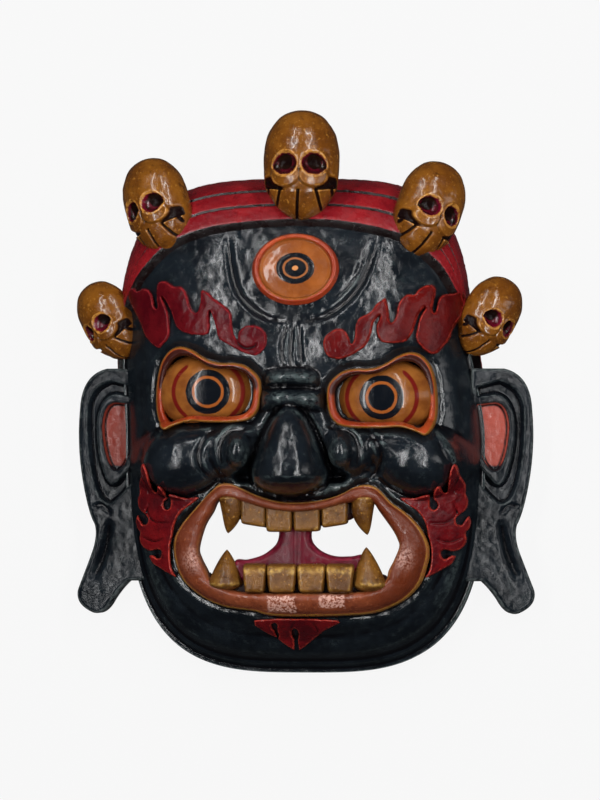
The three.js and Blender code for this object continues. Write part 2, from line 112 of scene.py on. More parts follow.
def smooth_run(points, closed=False, steps=12):
    """A Catmull-Rom curve through a few points, steps stretches between each two."""
    p = np.asarray(points, float)
    count = len(p)
    stretches = count if closed else count - 1
    run = []
    for i in range(stretches):
        if closed:
            a, b, c, d = p[i - 1], p[i], p[(i + 1) % count], p[(i + 2) % count]
        else:
            a, b, c, d = p[max(i - 1, 0)], p[i], p[i + 1], p[min(i + 2, count - 1)]
        for t in np.arange(steps) / steps:
            run.append(0.5 * (2 * b + (c - a) * t + (2 * a - 5 * b + 4 * c - d) * t ** 2
                              + (3 * b - a - 3 * c + d) * t ** 3))
    if not closed:
        run.append(p[-1])
    return np.array(run)


def stroke_run(side, start, *strokes, steps=10):
    """An outline from its start and its strokes: (x, y) is straight, (bend x, bend y, x, y) curved."""
    run = [np.array([side * start[0], start[1]], float)]
    for stroke in strokes:
        here, end = run[-1], np.array([side * stroke[-2], stroke[-1]], float)
        bend = (here + end) / 2 if len(stroke) == 2 else np.array([side * stroke[0], stroke[1]], float)
        for t in (np.arange(steps) + 1) / steps:
            run.append((1 - t) ** 2 * here + 2 * t * (1 - t) * bend + t ** 2 * end)
    return np.array(run)


def to_run(x, y, run, closed=False):
    """Distance from each place to a run of points, and how far along it the nearest point is (0 to 1)."""
    shape = np.shape(x)
    x, y = np.ravel(x), np.ravel(y)
    starts = run if closed else run[:-1]
    ends = np.roll(run, -1, axis=0) if closed else run[1:]
    best, along = np.full(x.shape, 1e9), np.zeros(x.shape)
    for i, (a, b) in enumerate(zip(starts, ends)):
        d = b - a
        t = np.clip(((x - a[0]) * d[0] + (y - a[1]) * d[1]) / max(d @ d, 1e-12), 0, 1)
        away = np.hypot(x - a[0] - t * d[0], y - a[1] - t * d[1])
        closer = away < best
        best = np.where(closer, away, best)
        along = np.where(closer, (i + t) / len(starts), along)
    return best.reshape(shape), along.reshape(shape)


def inside_run(x, y, run):
    """Whether each place lies inside a closed run."""
    shape = np.shape(x)
    x, y = np.ravel(x), np.ravel(y)
    odd = np.zeros(x.shape, bool)
    for a, b in zip(run, np.roll(run, -1, axis=0)):
        if a[1] == b[1]:
            continue
        crosses = (a[1] > y) != (b[1] > y)
        odd ^= crosses & (x < a[0] + (y - a[1]) * (b[0] - a[0]) / (b[1] - a[1]))
    return odd.reshape(shape)


def depth_in(x, y, run):
    """Distance to a closed outline, positive inside."""
    away, _ = to_run(x, y, run, closed=True)
    return np.where(inside_run(x, y, run), away, -away)


def groove(x, y, run, width, depth, tapers=True):
    """How deep a round-bottomed groove along a run goes at each place."""
    away, along = to_run(x, y, run)
    fade = np.sqrt(np.clip(np.sin(np.pi * np.clip(along, 0.02, 0.98)), 0, 1)) if tapers else 1.0
    return depth * fade * np.exp(-(away / (0.42 * width)) ** 2)


def line_run(points, side=1, at=(0.0, 0.0)):
    """A smooth open line through points measured from at, mirrored where side is -1."""
    return smooth_run([(at[0] + side * x, at[1] + y) for x, y in points], False, 8)


def name_of(side):
    return "left" if side < 0 else "right"


# The head's skin

def plan_radius(angle, grow):
    power = np.where(np.sin(angle) > 0, CROWN_SQUARE, JAW_SQUARE)
    # Towards the crown the head leans a little to one side
    upwards = np.degrees(np.arcsin(np.sin(angle)))
    lost = np.where(np.cos(angle) > 0, 14.0, -4.0) * smooth_step(-5, 38, upwards)
    across = np.abs(np.cos(angle)) / (HALF_WIDTH - lost + grow)
    along = np.abs(np.sin(angle)) / (HALF_HEIGHT + grow)
    return (across ** power + along ** power) ** (-1 / power)


def dome(x, y, grow=0.0):
    share = np.hypot(x, y - CENTRE_Y) / plan_radius(np.arctan2(y - CENTRE_Y, x), grow)
    return (DEPTH + grow) * np.clip(1 - np.clip(share, 0, 1) ** SWELL, 0, 1) ** (1 / SWELL)


def hill(x, y, at, radii, grow=0.0):
    rx, ry, rz = (r + grow for r in radii)
    away = ((x - at[0]) / rx) ** 2 + ((y - at[1]) / ry) ** 2
    inside = at[2] + rz * np.sqrt(np.clip(1 - away, 0, 1))
    return np.where(away < 1, inside, at[2] - 40 * np.clip(away - 1, 0, 2))


# Each hill: the middle of its base and its radii, and for the cheeks how softly it joins
MUZZLE = ((0, -120, 38), (108, 64, 58))
CHEEKS = [((85, -50, 73), (32, 26.5, 30), 3.0),
          ((62, -38, 76), (30, 15, 25), 8.0),
          ((46, -30, 80), (20, 9, 19), 6.0)]
NOSE_X = -5.8


def skin(x, y, grow=0.0):
    height = soft_max(dome(x, y, grow), hill(x, y, *MUZZLE, grow), 7.0)
    for side in SIDES:
        for at, radii, blend in CHEEKS:
            height = soft_max(height, hill(x, y, (side * at[0], *at[1:]), radii, grow), blend)
    return height


# Mouth outlines, right half from the top middle to the bottom middle
LIP_OUTER = [(-2.6, -81.5), (14, -80.3), (30, -76), (42, -70), (50, -68.3), (57, -70), (62, -74.5),
    (68, -81.2), (76, -87), (83, -93), (90, -101.5), (95, -112.3), (95.6, -121), (93.8, -129.4),
    (89, -142), (78.7, -153), (66, -160), (53, -164), (36, -165.3), (18.8, -165.8), (-2, -166),
    (-14, -165.8), (-24, -164.9), (-33, -162.2), (-41, -161.2), (-54, -159.5), (-67, -155), (-79, -147.5),
    (-88.3, -138), (-93.2, -124), (-93.7, -110.2), (-88.3, -99), (-75.5, -84.4), (-64.7, -73.2),
    (-58.3, -68), (-50, -67.7), (-42, -71), (-31, -76), (-17, -80.3)]
LIP_INNER = [(-2.6, -88.5), (18.8, -86.5), (40.3, -81.2), (50, -80), (56, -82.5), (60, -88.5),
    (69.2, -101.6), (73, -109), (74.1, -114.4), (70.3, -124.1), (66.5, -131.6), (64, -139),
    (55.3, -145.3), (40.3, -147.7), (18.8, -148.3), (-2.6, -148.3), (-24, -148.3), (-41.2, -147.7),
    (-53, -145), (-65, -139), (-69, -131.6), (-73.3, -123), (-74.8, -115.4), (-70, -99.4), (-63.6, -88.8),
    (-60, -81.5), (-54, -78.5), (-45.5, -80.1), (-25, -86)]
MOUTH_AT = np.array((0.0, -118.0))


def lip_runs(count=400):
    """Both lines of the lips at the same angles round the middle of the mouth."""
    outer, inner = (smooth_run(points, True, 16) for points in (LIP_OUTER, LIP_INNER))
    far = np.concatenate([[0], np.cumsum(np.hypot(*np.diff(np.vstack([outer, outer[:1]]), axis=0).T))])
    at = np.linspace(0, far[-1], count + 1)[:-1]
    outer = np.stack([np.interp(at, far, np.append(outer[:, k], outer[0, k])) for k in (0, 1)], 1)
    angle = np.arctan2(*(outer - MOUTH_AT).T[::-1])
    turn, length = np.arctan2(*(inner - MOUTH_AT).T[::-1]), np.hypot(*(inner - MOUTH_AT).T)
    order = np.argsort(turn)
    away = np.interp(angle, turn[order], length[order], period=2 * np.pi)
    return outer, MOUTH_AT + np.stack([away * np.cos(angle), away * np.sin(angle)], 1)


lip_outer, lip_inner = lip_runs()

# Eyes: the lid's outline from the iris, outwards positive
EYE_X, EYE_Y, EYE_MIDLINE, EYE_TILT = 64.3, -2.0, -2.9, 2.1
LID = [(33, -28), (38.5, -21), (40.5, -8), (39.5, 8), (36, 22), (29, 31), (20.6, 33.5), (12, 31), (4, 26),
    (-3, 22.8), (-11, 21.3), (-19, 21.5), (-28, 19.5), (-35, 14.5), (-39.5, 8), (-40, -3), (-37.5, -14),
    (-31, -20.5), (-18, -22.6), (0, -22.6), (14, -22), (25, -25)]
OPENING = (0.86, 0.8)  # the opening between the lids, as shares of their outline across and up


def eye_at(side):
    return EYE_MIDLINE + side * EYE_X, EYE_Y - side * EYE_TILT


def lid_run(side, share_x=1.0, share_y=1.0):
    cx, cy = eye_at(side)
    return smooth_run([(cx + side * dx * share_x, cy + dy * share_y) for dx, dy in LID], True, 8)


# Lines cut in the face. Those drawn once are for the right side
SWEEP = {-1: [(-54, 113), (-50.5, 90), (-45, 73), (-34, 61), (-21, 54), (-2, 51.5)],
         1: [(57, 112), (51, 93), (43, 76), (31, 63), (17, 55), (3, 51.5)]}
SWEEP_INNER = [(50, 106), (43, 89), (35, 77), (24, 67)]
FROWNS = [[(-8, 50), (-12, 36), (-11, 20)],
          [(-4, 49), (-5.5, 34), (-5.5, 19)],
          [(1, 50), (1.5, 34), (2.5, 21)]]
BROW_BONE = [(22, 30), (60, 42), (105, 40)]
TEMPLE_LINE = [(116, -40), (120, -10), (119, 20)]
MOUTH_CREASE = [(45, -55), (58, -64), (72, -74), (90, -84), (104, -103), (108, -124), (98, -146)]
EYE_FOLD = [(36, -26), (47, -42), (56, -62)]  # from the iris
UNDER_EYE = [(-38, -18), (-20, -29), (0, -30), (22, -33)]  # from the iris
WING_CURL = [(27, -25), (34, -27.5), (42, -28.5), (49, -34.5), (51.5, -44), (49.5, -54)]  # from NOSE_X
WING_FOLD = [(50, -24), (60, -31), (66.5, -42), (66, -54), (58, -64), (46, -70)]  # from NOSE_X

# Outlines of the brows and the flames. The cheek flame is drawn once, for the right side
BROW_LEFT = [(-131.7, 73.9), (-129.6, 77), (-126.3, 77.6), (-123.1, 75.3), (-119, 76.9), (-114.9, 76.5),
    (-111.7, 73.4), (-109.7, 68.7), (-108.7, 63.6), (-107.2, 62.2), (-106.6, 63.6), (-107.3, 68.3),
    (-107.6, 73), (-107.2, 79.2), (-105.2, 81.9), (-101.1, 82.4), (-97.9, 81.1), (-93.8, 78.3),
    (-88.9, 78.3), (-85.7, 75.9), (-83.3, 72), (-81.7, 66.6), (-80, 61.9), (-77.2, 58.8), (-74.8, 60.7),
    (-73.3, 68.1), (-73.2, 74.3), (-71.1, 75.4), (-67.1, 73.8), (-63.1, 69.6), (-57.4, 65.6),
    (-53.4, 62.5), (-49.8, 58.6), (-49, 53.2), (-48.6, 47.8), (-46.6, 41.6), (-45, 39.1), (-44.7, 43.1),
    (-42.9, 46.2), (-39.3, 48.9), (-33.3, 49.6), (-27.7, 47.7), (-24.1, 44.2), (-22.7, 39.9),
    (-23.3, 33.8), (-26.1, 29.5), (-30.9, 26.5), (-37.3, 27.6), (-45.4, 30.8), (-51.8, 34.6),
    (-57.4, 37.8), (-59.8, 40.9), (-61.1, 46.3), (-63.1, 53.3), (-65.7, 59.1), (-65.3, 54.1),
    (-65.3, 48.6), (-66.1, 44), (-68.7, 41.7), (-75.2, 41.7), (-81.7, 42.5), (-87.3, 44.5), (-91.4, 48),
    (-93.8, 53.5), (-95.4, 58.1), (-98.7, 64.4), (-102.7, 70.2), (-99.7, 63.6), (-96.9, 58.1),
    (-96.2, 51.9), (-96.2, 43.4), (-97.9, 38.7), (-101.9, 34.8), (-105.2, 32.1), (-110.1, 34.9),
    (-114.1, 38.8), (-117.4, 43.5), (-119.8, 49.7), (-123.1, 55.9), (-126.3, 61.4), (-129.6, 66.9)]
BROW_RIGHT = [(23.4, 44.4), (27.5, 46.5), (31.6, 46.9), (35.4, 44.8), (37.9, 40.9), (39.3, 36.3),
    (40.5, 37.4), (41.8, 43), (42, 48.7), (42.9, 51.5), (45.3, 55.1), (50.9, 57.9), (54.3, 60.8),
    (57.1, 65), (60.5, 67.5), (63.6, 69.5), (65, 66.5), (66, 62.2), (66.7, 55.9), (68.1, 51.6),
    (69.8, 52.7), (71.5, 56.6), (72.9, 64.4), (75.7, 69.3), (79.8, 72.2), (84.7, 72.2), (87.4, 75.8),
    (91.6, 78.6), (96.4, 79.4), (99.6, 77.3), (99.6, 72.3), (98.5, 67.3), (97.7, 61.7), (98.9, 58.8),
    (100.1, 61), (101.3, 67.3), (104.1, 71.6), (108.2, 72.7), (112.4, 73.1), (115.9, 75.2), (119.3, 74.2),
    (121.1, 69.6), (120, 64.6), (117.9, 56.8), (114.5, 51.1), (111.7, 46.1), (109.6, 39), (105.4, 33.3),
    (100.6, 28.3), (95.7, 28.3), (90.9, 31.9), (87.4, 36.1), (85.7, 40.3), (86.7, 47.4), (88.3, 54.5),
    (92.3, 62.3), (88.1, 57.4), (86.9, 53.1), (84.7, 46), (81.9, 40.3), (78.4, 36.8), (71.5, 35.7),
    (64.6, 35.7), (60.5, 37.4), (57.6, 43.1), (57.7, 50.9), (59.9, 55.8), (56.8, 52.3), (55.5, 50.2),
    (54.3, 43.1), (52.2, 37.4), (48.8, 32.5), (43.3, 28.9), (37.1, 25.4), (30.2, 23.8), (23.4, 25),
    (20.3, 28.2), (18.6, 33.1), (18.6, 38), (20.3, 41.9)]
CHEEK_FLAME = [(115, -52.9), (117.2, -55.8), (117.9, -61.1), (120.3, -65.9), (121.6, -69.8),
    (121.3, -75.5), (122.9, -79.4), (122.8, -84.2), (120.8, -88.1), (117, -91.1), (114.4, -94),
    (115.2, -97.7), (118.4, -98.6), (121.3, -94.8), (123.5, -91.9), (124.9, -96.7), (123.7, -101.5),
    (121.3, -104.4), (122, -109.2), (120.8, -113.1), (117.9, -116.4), (113.1, -118.1), (106.4, -116.9),
    (104, -118.4), (104.4, -122.2), (106.9, -123.7), (111.2, -121.3), (114.1, -122.2), (111.2, -127.5),
    (106.4, -130.4), (99.6, -134.3), (91.9, -137.7), (94.8, -133.3), (96.7, -125.6), (96.7, -114.1),
    (94.8, -106.4), (93.8, -100.6), (91.4, -93.9), (87.1, -88.1), (80.3, -83.3), (74.6, -78),
    (85.2, -78.5), (95.8, -75.6), (96, -80.4), (96.5, -85.2), (99.1, -87.1), (101.7, -84.7),
    (101.1, -81.3), (99.1, -79.4), (99.6, -74.6), (102, -70.3), (104.4, -69.8), (105.4, -73.2),
    (107.3, -74.6), (109.5, -71.9), (111, -65), (112.2, -58.2)]
CHIN_FLAME = [(-33.8, -168.9), (27.8, -168.7), (16.2, -177.6), (-0.8, -191.2), (-2.4, -190.2),
    (-2.7, -183.9), (-1.6, -180.4), (-1.8, -176.8), (-4.3, -175.2), (-6.8, -176.8), (-7, -180.4),
    (-5.6, -183.9), (-5.9, -190.6), (-7, -191.4), (-16.8, -184), (-16.4, -180.4), (-17.3, -175.9),
    (-16.8, -172.4), (-19.1, -171), (-21.3, -172.4), (-20.9, -175.5), (-19.5, -177.7), (-19.5, -182)]


def eye_hollow(x, y):
    """The dip round each eye, and the folds under it that run out and down."""
    dip = np.zeros(np.shape(x))
    for side in SIDES:
        away = -depth_in(x, y, lid_run(side))
        dip += 3.0 * np.exp(-(np.clip(away - 1.0, 0, 99) / 3.0) ** 2)
        dip += 9.0 * smooth_step(-2.0, -7.0, away)
        dip += groove(x, y, line_run(EYE_FOLD, side, eye_at(side)), 6.0, 3.0)
        dip += groove(x, y, line_run(UNDER_EYE, side, eye_at(side)), 5.0, 2.4)
    return dip


# The nose: rolls of skin as level, half width, half height and top, and the bulb as y, half width and crest
ROLLS = [(11.0, 21.5, 7.6, 106), (-4.6, 24.0, 8.2, 109.5)]
BULB = [(-10, 5, 106), (-14, 9, 112), (-20, 13.5, 118), (-30, 18.5, 124.5), (-40, 23, 130),
    (-50, 26.5, 134), (-57, 28.4, 135.8), (-62, 28.6, 135.6), (-66, 27.5, 132), (-70, 24, 124),
    (-74, 16, 112), (-77, 6, 98)]


def nose_height(x, y, height):
    """The nose on the skin: bridge, two rolls between the eyes, curled wings, and the bell-shaped bulb."""
    height = soft_max(height, hill(x, y, (NOSE_X, 0, 60), (21, 34, 33)), 4.0)
    height = soft_max(height, hill(x, y, (NOSE_X, -50, 72), (50, 24, 24)), 4.0)
    for level, half, tall, high in ROLLS:
        across = np.abs(x - NOSE_X - 1.5) / half
        up = np.abs(y - level + 0.004 * (x - NOSE_X) ** 2) / tall
        roll = high - 24 + 24 * (np.clip(1 - up ** 2, 0, 1) * np.clip(1 - across ** 3.4, 0, 1)) ** 0.55
        height = np.where((across < 1) & (up < 1), np.maximum(height, roll), height)
    for side in SIDES:
        height = soft_max(height, hill(x, y, (NOSE_X + side * 43, -42, 78), (22, 22, 27)), 3.0)
        wing = np.hypot((x - NOSE_X - side * 38) / 11.5, (y + 43.5) / 14.5)
        height = soft_max(height, 86 + 28 * np.sqrt(np.clip(1 - wing ** 2.2, 0, 1)) - 60 * (wing > 1), 0.5)
        height = height - groove(x, y, line_run(WING_CURL, side, (NOSE_X, 0)), 3.4, 5.0)
        height = height - groove(x, y, line_run(WING_FOLD, side, (NOSE_X, 0)), 5.0, 3.6)
        nostril = ((x - NOSE_X - side * 33) / 8.5) ** 2 + ((y + 63) / 4.5) ** 2
        height = height - 16.0 * np.exp(-nostril ** 2)
    at, half, crest = (np.array(row)[::-1] for row in zip(*BULB))
    wide, high = np.interp(y, at, half, 0.01, 0.01), np.interp(y, at, crest, 0, 0)
    share = np.abs(x - NOSE_X) / wide
    bulb = np.where(share < 1, 90 + (high - 90) * np.clip(1 - share ** 2.5, 0, 1) ** 0.5, 0)
    edge = np.exp(-((np.abs(x - NOSE_X) - wide - 1.2) / 1.6) ** 2) * (wide > 4)
    height = np.maximum(height - 6.0 * edge, bulb)
    under = ((x - NOSE_X) / 30) ** 2 + ((y + 79.5) / 3.0) ** 2
    return height - 4.0 * np.exp(-under ** 2)


def face_height(x, y):
    """The whole front of the face, without the pieces that are painted in other colours."""
    height = skin(x, y) - eye_hollow(x, y)
    # The brow bone stands a little forward over the eyes
    for side in SIDES:
        away, _ = to_run(x, y, line_run(BROW_BONE, side))
        height = height + 3.0 * np.exp(-(away / 13.0) ** 2)
    height = nose_height(x, y, height)
    for side in SIDES:
        height = height - groove(x, y, line_run(SWEEP[side]), 6.0, 4.0)
    height = height - groove(x, y, line_run(SWEEP_INNER), 3.5, 1.5)
    for points in FROWNS:
        height = height - groove(x, y, line_run(points), 3.0, 2.6)
    # The groove round the lips, and the crease from the nose's wings out round the mouth
    away, _ = to_run(x, y, lip_outer, closed=True)
    height = height - 4.0 * np.exp(-(away / 3.2) ** 2)
    for side in SIDES:
        height = height - groove(x, y, line_run(MOUTH_CREASE, side), 6.0, 3.2)
        height = height - groove(x, y, line_run(TEMPLE_LINE, side), 7.0, 1.6)
    # The jaw: a groove sets off its outer rim, with a softer line inside it
    share = np.hypot(x, y - CENTRE_Y) / plan_radius(np.arctan2(y - CENTRE_Y, x), 0.0)
    height = height - smooth_step(-70, -110, y) * 4.5 * np.exp(-((share - 0.945) / 0.014) ** 2)
    low = smooth_step(-70, -110, y) * smooth_step(-120, -160, y)
    height = height - low * 2.0 * np.exp(-((share - 0.845) / 0.02) ** 2)
    # Chisel work
    height = height + 0.9 * facets(x, y, 0, 15, 5) * smooth_step(1.0, 0.9, share)
    height = height + 0.45 * facets(x, y, 0, 6.5, 9) * smooth_step(1.0, 0.9, share)
    return height + 0.25 * noise(x, y, 0, 4, 3) * smooth_step(1.0, 0.93, share)


def hollow_height(x, y):
    """The back of the head's wall, with a pocket for the nose and no thinner than 6 mm anywhere."""
    pocket = hill(x, y, (NOSE_X, -46, 70), (18, 22, 38))
    return np.minimum(np.maximum(dome(x, y, -WALL), pocket), face_height(x, y) - 6.0)


COVER = 2.5  # mm of wall kept behind what stands in it


def kept_in_wall(points):
    """Draws what would come through the head's wall into the hollow back up into the wall."""
    points = np.array(points, float)
    back = dome(points[:, 0], points[:, 1], -WALL)
    low = (back > 0) & (points[:, 2] < back + COVER)
    x, y, z = points[low].T
    floor = hollow_height(x, y) + COVER
    under = np.clip(floor - z, 0, None)
    points[low, 2] = np.where(under > 0, floor - 2.0 + 2.0 / (1 + under / 2.0), z)
    return points


# Meshes

def make_piece(name, points, faces, material, colours=None):
    """A named piece in metres from points in drawn millimetres, riding on the mask's body. colours gives
    values to the points, for the paints to read by name."""
    mesh = bpy.data.meshes.new(name)
    if name != "face":
        points = kept_in_wall(points)
    placed = (np.asarray(points, float) + (0, LIFT_Y, 0)) * MM
    mesh.from_pydata(placed.tolist(), [], [list(map(int, f)) for f in faces])
    mesh.validate()
    for key, values in (colours or {}).items():
        attribute = mesh.attributes.new(key, "FLOAT", "POINT")
        attribute.data.foreach_set("value", np.asarray(values, np.float32))
    add_relief_attribute(mesh)
    mesh.polygons.foreach_set("use_smooth", np.full(len(mesh.polygons), True))
    mesh.update()
    for each in material if isinstance(material, list) else [material]:
        mesh.materials.append(each)
    piece = bpy.data.objects.new(name, mesh)
    bpy.context.scene.collection.objects.link(piece)
    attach(piece, "root")
    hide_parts(MASK)
    return piece


def add_relief_attribute(mesh, rounds=2):
    """Writes 'relief' to the points, in millimetres: positive on ridges and edges, negative in hollows."""
    count = len(mesh.vertices)
    where = np.empty(count * 3, np.float32)
    mesh.vertices.foreach_get("co", where)
    where = where.reshape(-1, 3)
    normals = np.empty(count * 3, np.float32)
    mesh.vertex_normals.foreach_get("vector", normals)
    normals = normals.reshape(-1, 3)
    edges = np.empty(len(mesh.edges) * 2, np.int32)
    mesh.edges.foreach_get("vertices", edges)
    edges = edges.reshape(-1, 2)
    degree = np.maximum(np.bincount(edges.ravel(), minlength=count), 1)

    def mean(values):
        total = np.stack([np.bincount(edges[:, 0], values[edges[:, 1], k], count)
                          + np.bincount(edges[:, 1], values[edges[:, 0], k], count)
                          for k in range(values.shape[1])], 1)
        return total / degree[:, None]

    around = where.copy()
    for _ in range(rounds):
        around = mean(around)
    relief = ((where - around) * normals).sum(1, keepdims=True) * 1000
    relief = 0.5 * relief + 0.5 * mean(relief)
    relief = relief * np.clip(where[:, 2:] / 0.03, 0, 1)  # near the floor the rim takes neither the ridge nor the hollow colour
    attribute = mesh.attributes.new("relief", "FLOAT", "POINT")
    attribute.data.foreach_set("value", relief[:, 0].astype(np.float32))


def grid_faces(rows, columns, first=0, wrap_rows=False, wrap_columns=False, flip=False):
    """Squares between the points of a grid, row by row, starting at point number first."""
    r = np.arange(rows if wrap_rows else rows - 1)
    c = np.arange(columns if wrap_columns else columns - 1)
    r, c = np.meshgrid(r, c, indexing="ij")
    r2, c2 = (r + 1) % rows, (c + 1) % columns
    quad = np.stack([r * columns + c, r * columns + c2, r2 * columns + c2, r2 * columns + c], -1)
    quad = quad.reshape(-1, 4)
    return (quad[:, ::-1] if flip else quad) + first


def closed_shell(keep, quads, top, bottom):
    """Faces of a closed shell from two sheets of points on the same quads. keep says which quads stand."""
    quads = quads[keep]
    count = len(top)
    edges = np.concatenate([quads[:, [k, (k + 1) % 4]] for k in range(4)])
    key = edges[:, 0].astype(np.int64) * count + edges[:, 1]
    back = edges[:, 1].astype(np.int64) * count + edges[:, 0]
    rim = edges[~np.isin(key, back)]
    walls = np.stack([rim[:, 1], rim[:, 0], rim[:, 0] + count, rim[:, 1] + count], 1)
    faces = np.concatenate([quads, quads[:, ::-1] + count, walls])
    points = np.concatenate([top, bottom])
    used = np.unique(faces)
    rename = np.full(len(points), -1)
    rename[used] = np.arange(len(used))
    return points[used], rename[faces], used


def relief_piece(name, outline, material, top, bottom, step=0.9, hole=None, colours=None, shift=None):
    """A patch with a clean outline: a fine grid whose border points are moved onto the outline, and onto the
    hole's. top and bottom give heights from x, y and the depth inside the outline."""
    low, high = outline.min(0) - 2 * step, outline.max(0) + 2 * step
    xs, ys = np.arange(low[0], high[0], step), np.arange(low[1], high[1], step)
    x, y = np.meshgrid(xs, ys, indexing="ij")
    inside = np.ones(x.shape, bool)
    border = np.zeros(x.shape, bool)
    for run, sign in ((outline, 1), (hole, -1)):
        if run is None:
            continue
        depth = sign * depth_in(x, y, run)
        near = (np.abs(depth) < 0.72 * step) & ~border
        px, py = x[near], y[near]
        best = np.full(px.shape, 1e9)
        bx, by = px.copy(), py.copy()
        for a, b in zip(run, np.roll(run, -1, axis=0)):
            e = b - a
            t = np.clip(((px - a[0]) * e[0] + (py - a[1]) * e[1]) / max(e @ e, 1e-12), 0, 1)
            qx, qy = a[0] + t * e[0], a[1] + t * e[1]
            away = np.hypot(px - qx, py - qy)
            closer = away < best
            best, bx, by = np.where(closer, away, best), np.where(closer, qx, bx), np.where(closer, qy, by)
        x[near], y[near] = bx, by
        border |= near
        inside &= (depth > 0) | near
    quads = grid_faces(len(xs), len(ys))
    keep = inside.ravel()[quads].all(1) & ~border.ravel()[quads].all(1)
    inner = np.clip(depth_in(x, y, outline), 0, None)
    upper = np.stack([x, y, top(x, y, inner)], -1).reshape(-1, 3)
    lower = np.stack([x, y, bottom(x, y, inner)], -1).reshape(-1, 3)
    points, faces, used = closed_shell(keep, quads[:, ::-1], upper, lower)
    values = {}
    for key, rule in (colours or {}).items():
        upper_share = rule(x, y, inner).ravel()
        both = np.concatenate([upper_share, upper_share * (key != "patch")])
        values[key] = both[used]
    if shift is not None:
        points = shift(points)
    return make_piece(name, points, faces, material, values)


# Materials

class Paint:
    """A new material's nodes, with short ways to add the few kinds that the paints are made of."""

    def __init__(self, name, specular, coat, coat_rough):
        self.material = bpy.data.materials.new(name)
        self.material.use_nodes = True
        self.nodes, self.links = self.material.node_tree.nodes, self.material.node_tree.links
        self.shader = self.nodes["Principled BSDF"]
        self.shader.inputs["Specular IOR Level"].default_value = specular
        self.shader.inputs["Coat Weight"].default_value = coat
        self.shader.inputs["Coat Roughness"].default_value = coat_rough
        self.where = self.nodes.new("ShaderNodeTexCoord").outputs["Object"]

    def cloud(self, scale, detail=4.0, roughness=0.6, source=None):
        node = self.nodes.new("ShaderNodeTexNoise")
        for key, number in (("Scale", scale), ("Detail", detail), ("Roughness", roughness)):
            node.inputs[key].default_value = number
        self.links.new(self.where if source is None else source, node.inputs["Vector"])
        return node.outputs["Fac"]

    def attribute(self, key):
        node = self.nodes.new("ShaderNodeAttribute")
        node.attribute_name = key
        return node.outputs["Fac"]

    def ranged(self, value, low, high, to_low=0.0, to_high=1.0, kind="SMOOTHSTEP"):
        node = self.nodes.new("ShaderNodeMapRange")
        node.interpolation_type = kind
        for key, number in (("From Min", low), ("From Max", high), ("To Min", to_low), ("To Max", to_high)):
            node.inputs[key].default_value = number
        self.links.new(value, node.inputs["Value"])
        return node.outputs["Result"]

    def mixed(self, first, second, share):
        node = self.nodes.new("ShaderNodeMix")
        node.data_type = "RGBA"
        for socket, value in ((node.inputs["A"], first), (node.inputs["B"], second)):
            if isinstance(value, tuple):
                socket.default_value = (*value, 1.0)
            else:
                self.links.new(value, socket)
        self.links.new(share, node.inputs["Factor"])
        return node.outputs["Result"]

    def sum_or_product(self, operation, first, second):
        node = self.nodes.new("ShaderNodeMath")
        node.operation = operation
        self.links.new(first, node.inputs[0])
        self.links.new(second, node.inputs[1])
        return node.outputs["Value"]

    def bumped(self, height, strength, distance, below=None):
        node = self.nodes.new("ShaderNodeBump")
        node.inputs["Strength"].default_value = strength
        node.inputs["Distance"].default_value = distance
        self.links.new(height, node.inputs["Height"])
        if below is not None:
            self.links.new(below, node.inputs["Normal"])
        return node.outputs["Normal"]

    def finished(self, **sockets):
        """Links each value to the shader's socket of that name, and gives the material."""
        for key, value in sockets.items():
            self.links.new(value, self.shader.inputs[key.replace("_", " ")])
        return self.material


def paint(name, colours, rough=(0.22, 0.42), bump=0.25, grain=900.0, streak=(1.0, 1.0, 1.0), coat=0.4,
          wear_and_highlight=None, wear_and_highlight_at=(0.12, 0.4), hollow_tint=(0.02, 0.016, 0.012), hollow_tint_at=(-0.05, -0.35), spots=None,
          edge=(), gloss=0.25):
    """Lacquered paint: clouded colour, darker hollows, ridges lighter with wear and painted highlight, and
    brush and chisel marks in the gloss.
    edge lists (attribute, colour, from, to) for painted lines and patches that an attribute places."""
    p = Paint(name, gloss, coat, 0.1)
    stretch = p.nodes.new("ShaderNodeMapping")
    stretch.inputs["Scale"].default_value = streak
    p.links.new(p.where, stretch.inputs["Vector"])
    along = stretch.outputs["Vector"]

    colour = p.mixed(colours[0], colours[1], p.ranged(p.cloud(38.0), 0.38, 0.62))
    colour = p.mixed(colour, colours[2], p.ranged(p.cloud(140.0, 6.0, 0.7, along), 0.5, 0.78))
    if spots:
        colour = p.mixed(colour, spots, p.ranged(p.cloud(420.0, 3.0, 0.5), 0.6, 0.7))
    for key, tint, low, high in edge:
        share = p.ranged(p.attribute(key), low, high)
        # On the lips this share holds painted reflections and pale spots, broken up by a fine cloud
        if key == "reflection_and_pale_spots":
            share = p.sum_or_product("MULTIPLY", share, p.ranged(p.cloud(620.0, 4.0, 0.7), 0.44, 0.54))
        colour = p.mixed(colour, tint, share)
    # Hollows and creases take a darker colour, read from the relief
    colour = p.mixed(colour, hollow_tint, p.ranged(p.attribute("relief"), *hollow_tint_at))
    # Ridges take a lighter colour, read from the relief: wear, and painted highlight
    if wear_and_highlight:
        wear_and_highlight_share = p.sum_or_product("MULTIPLY", p.ranged(p.attribute("relief"), *wear_and_highlight_at),
                               p.ranged(p.cloud(260.0, 5.0, 0.7), 0.35, 0.6))
        colour = p.mixed(colour, wear_and_highlight, wear_and_highlight_share)

    shine = {}
    if any(key == "shadow" for key, *rest in edge):
        shine["Coat_Weight"] = p.ranged(p.attribute("shadow"), 0.1, 0.5, coat, 0.0)
        shine["Specular_IOR_Level"] = p.ranged(p.attribute("shadow"), 0.1, 0.5, gloss, 0.05)
    marks = p.bumped(p.cloud(grain, 5.0, 0.6, along), bump, 0.0006)
    wide = p.bumped(p.cloud(grain * 0.28, 3.0, 0.5), bump, 0.0012, marks)
    return p.finished(Base_Color=colour, Normal=wide, **shine,
                      Roughness=p.ranged(p.cloud(90.0, 5.0, 0.65, along), 0.35, 0.68, *rough))


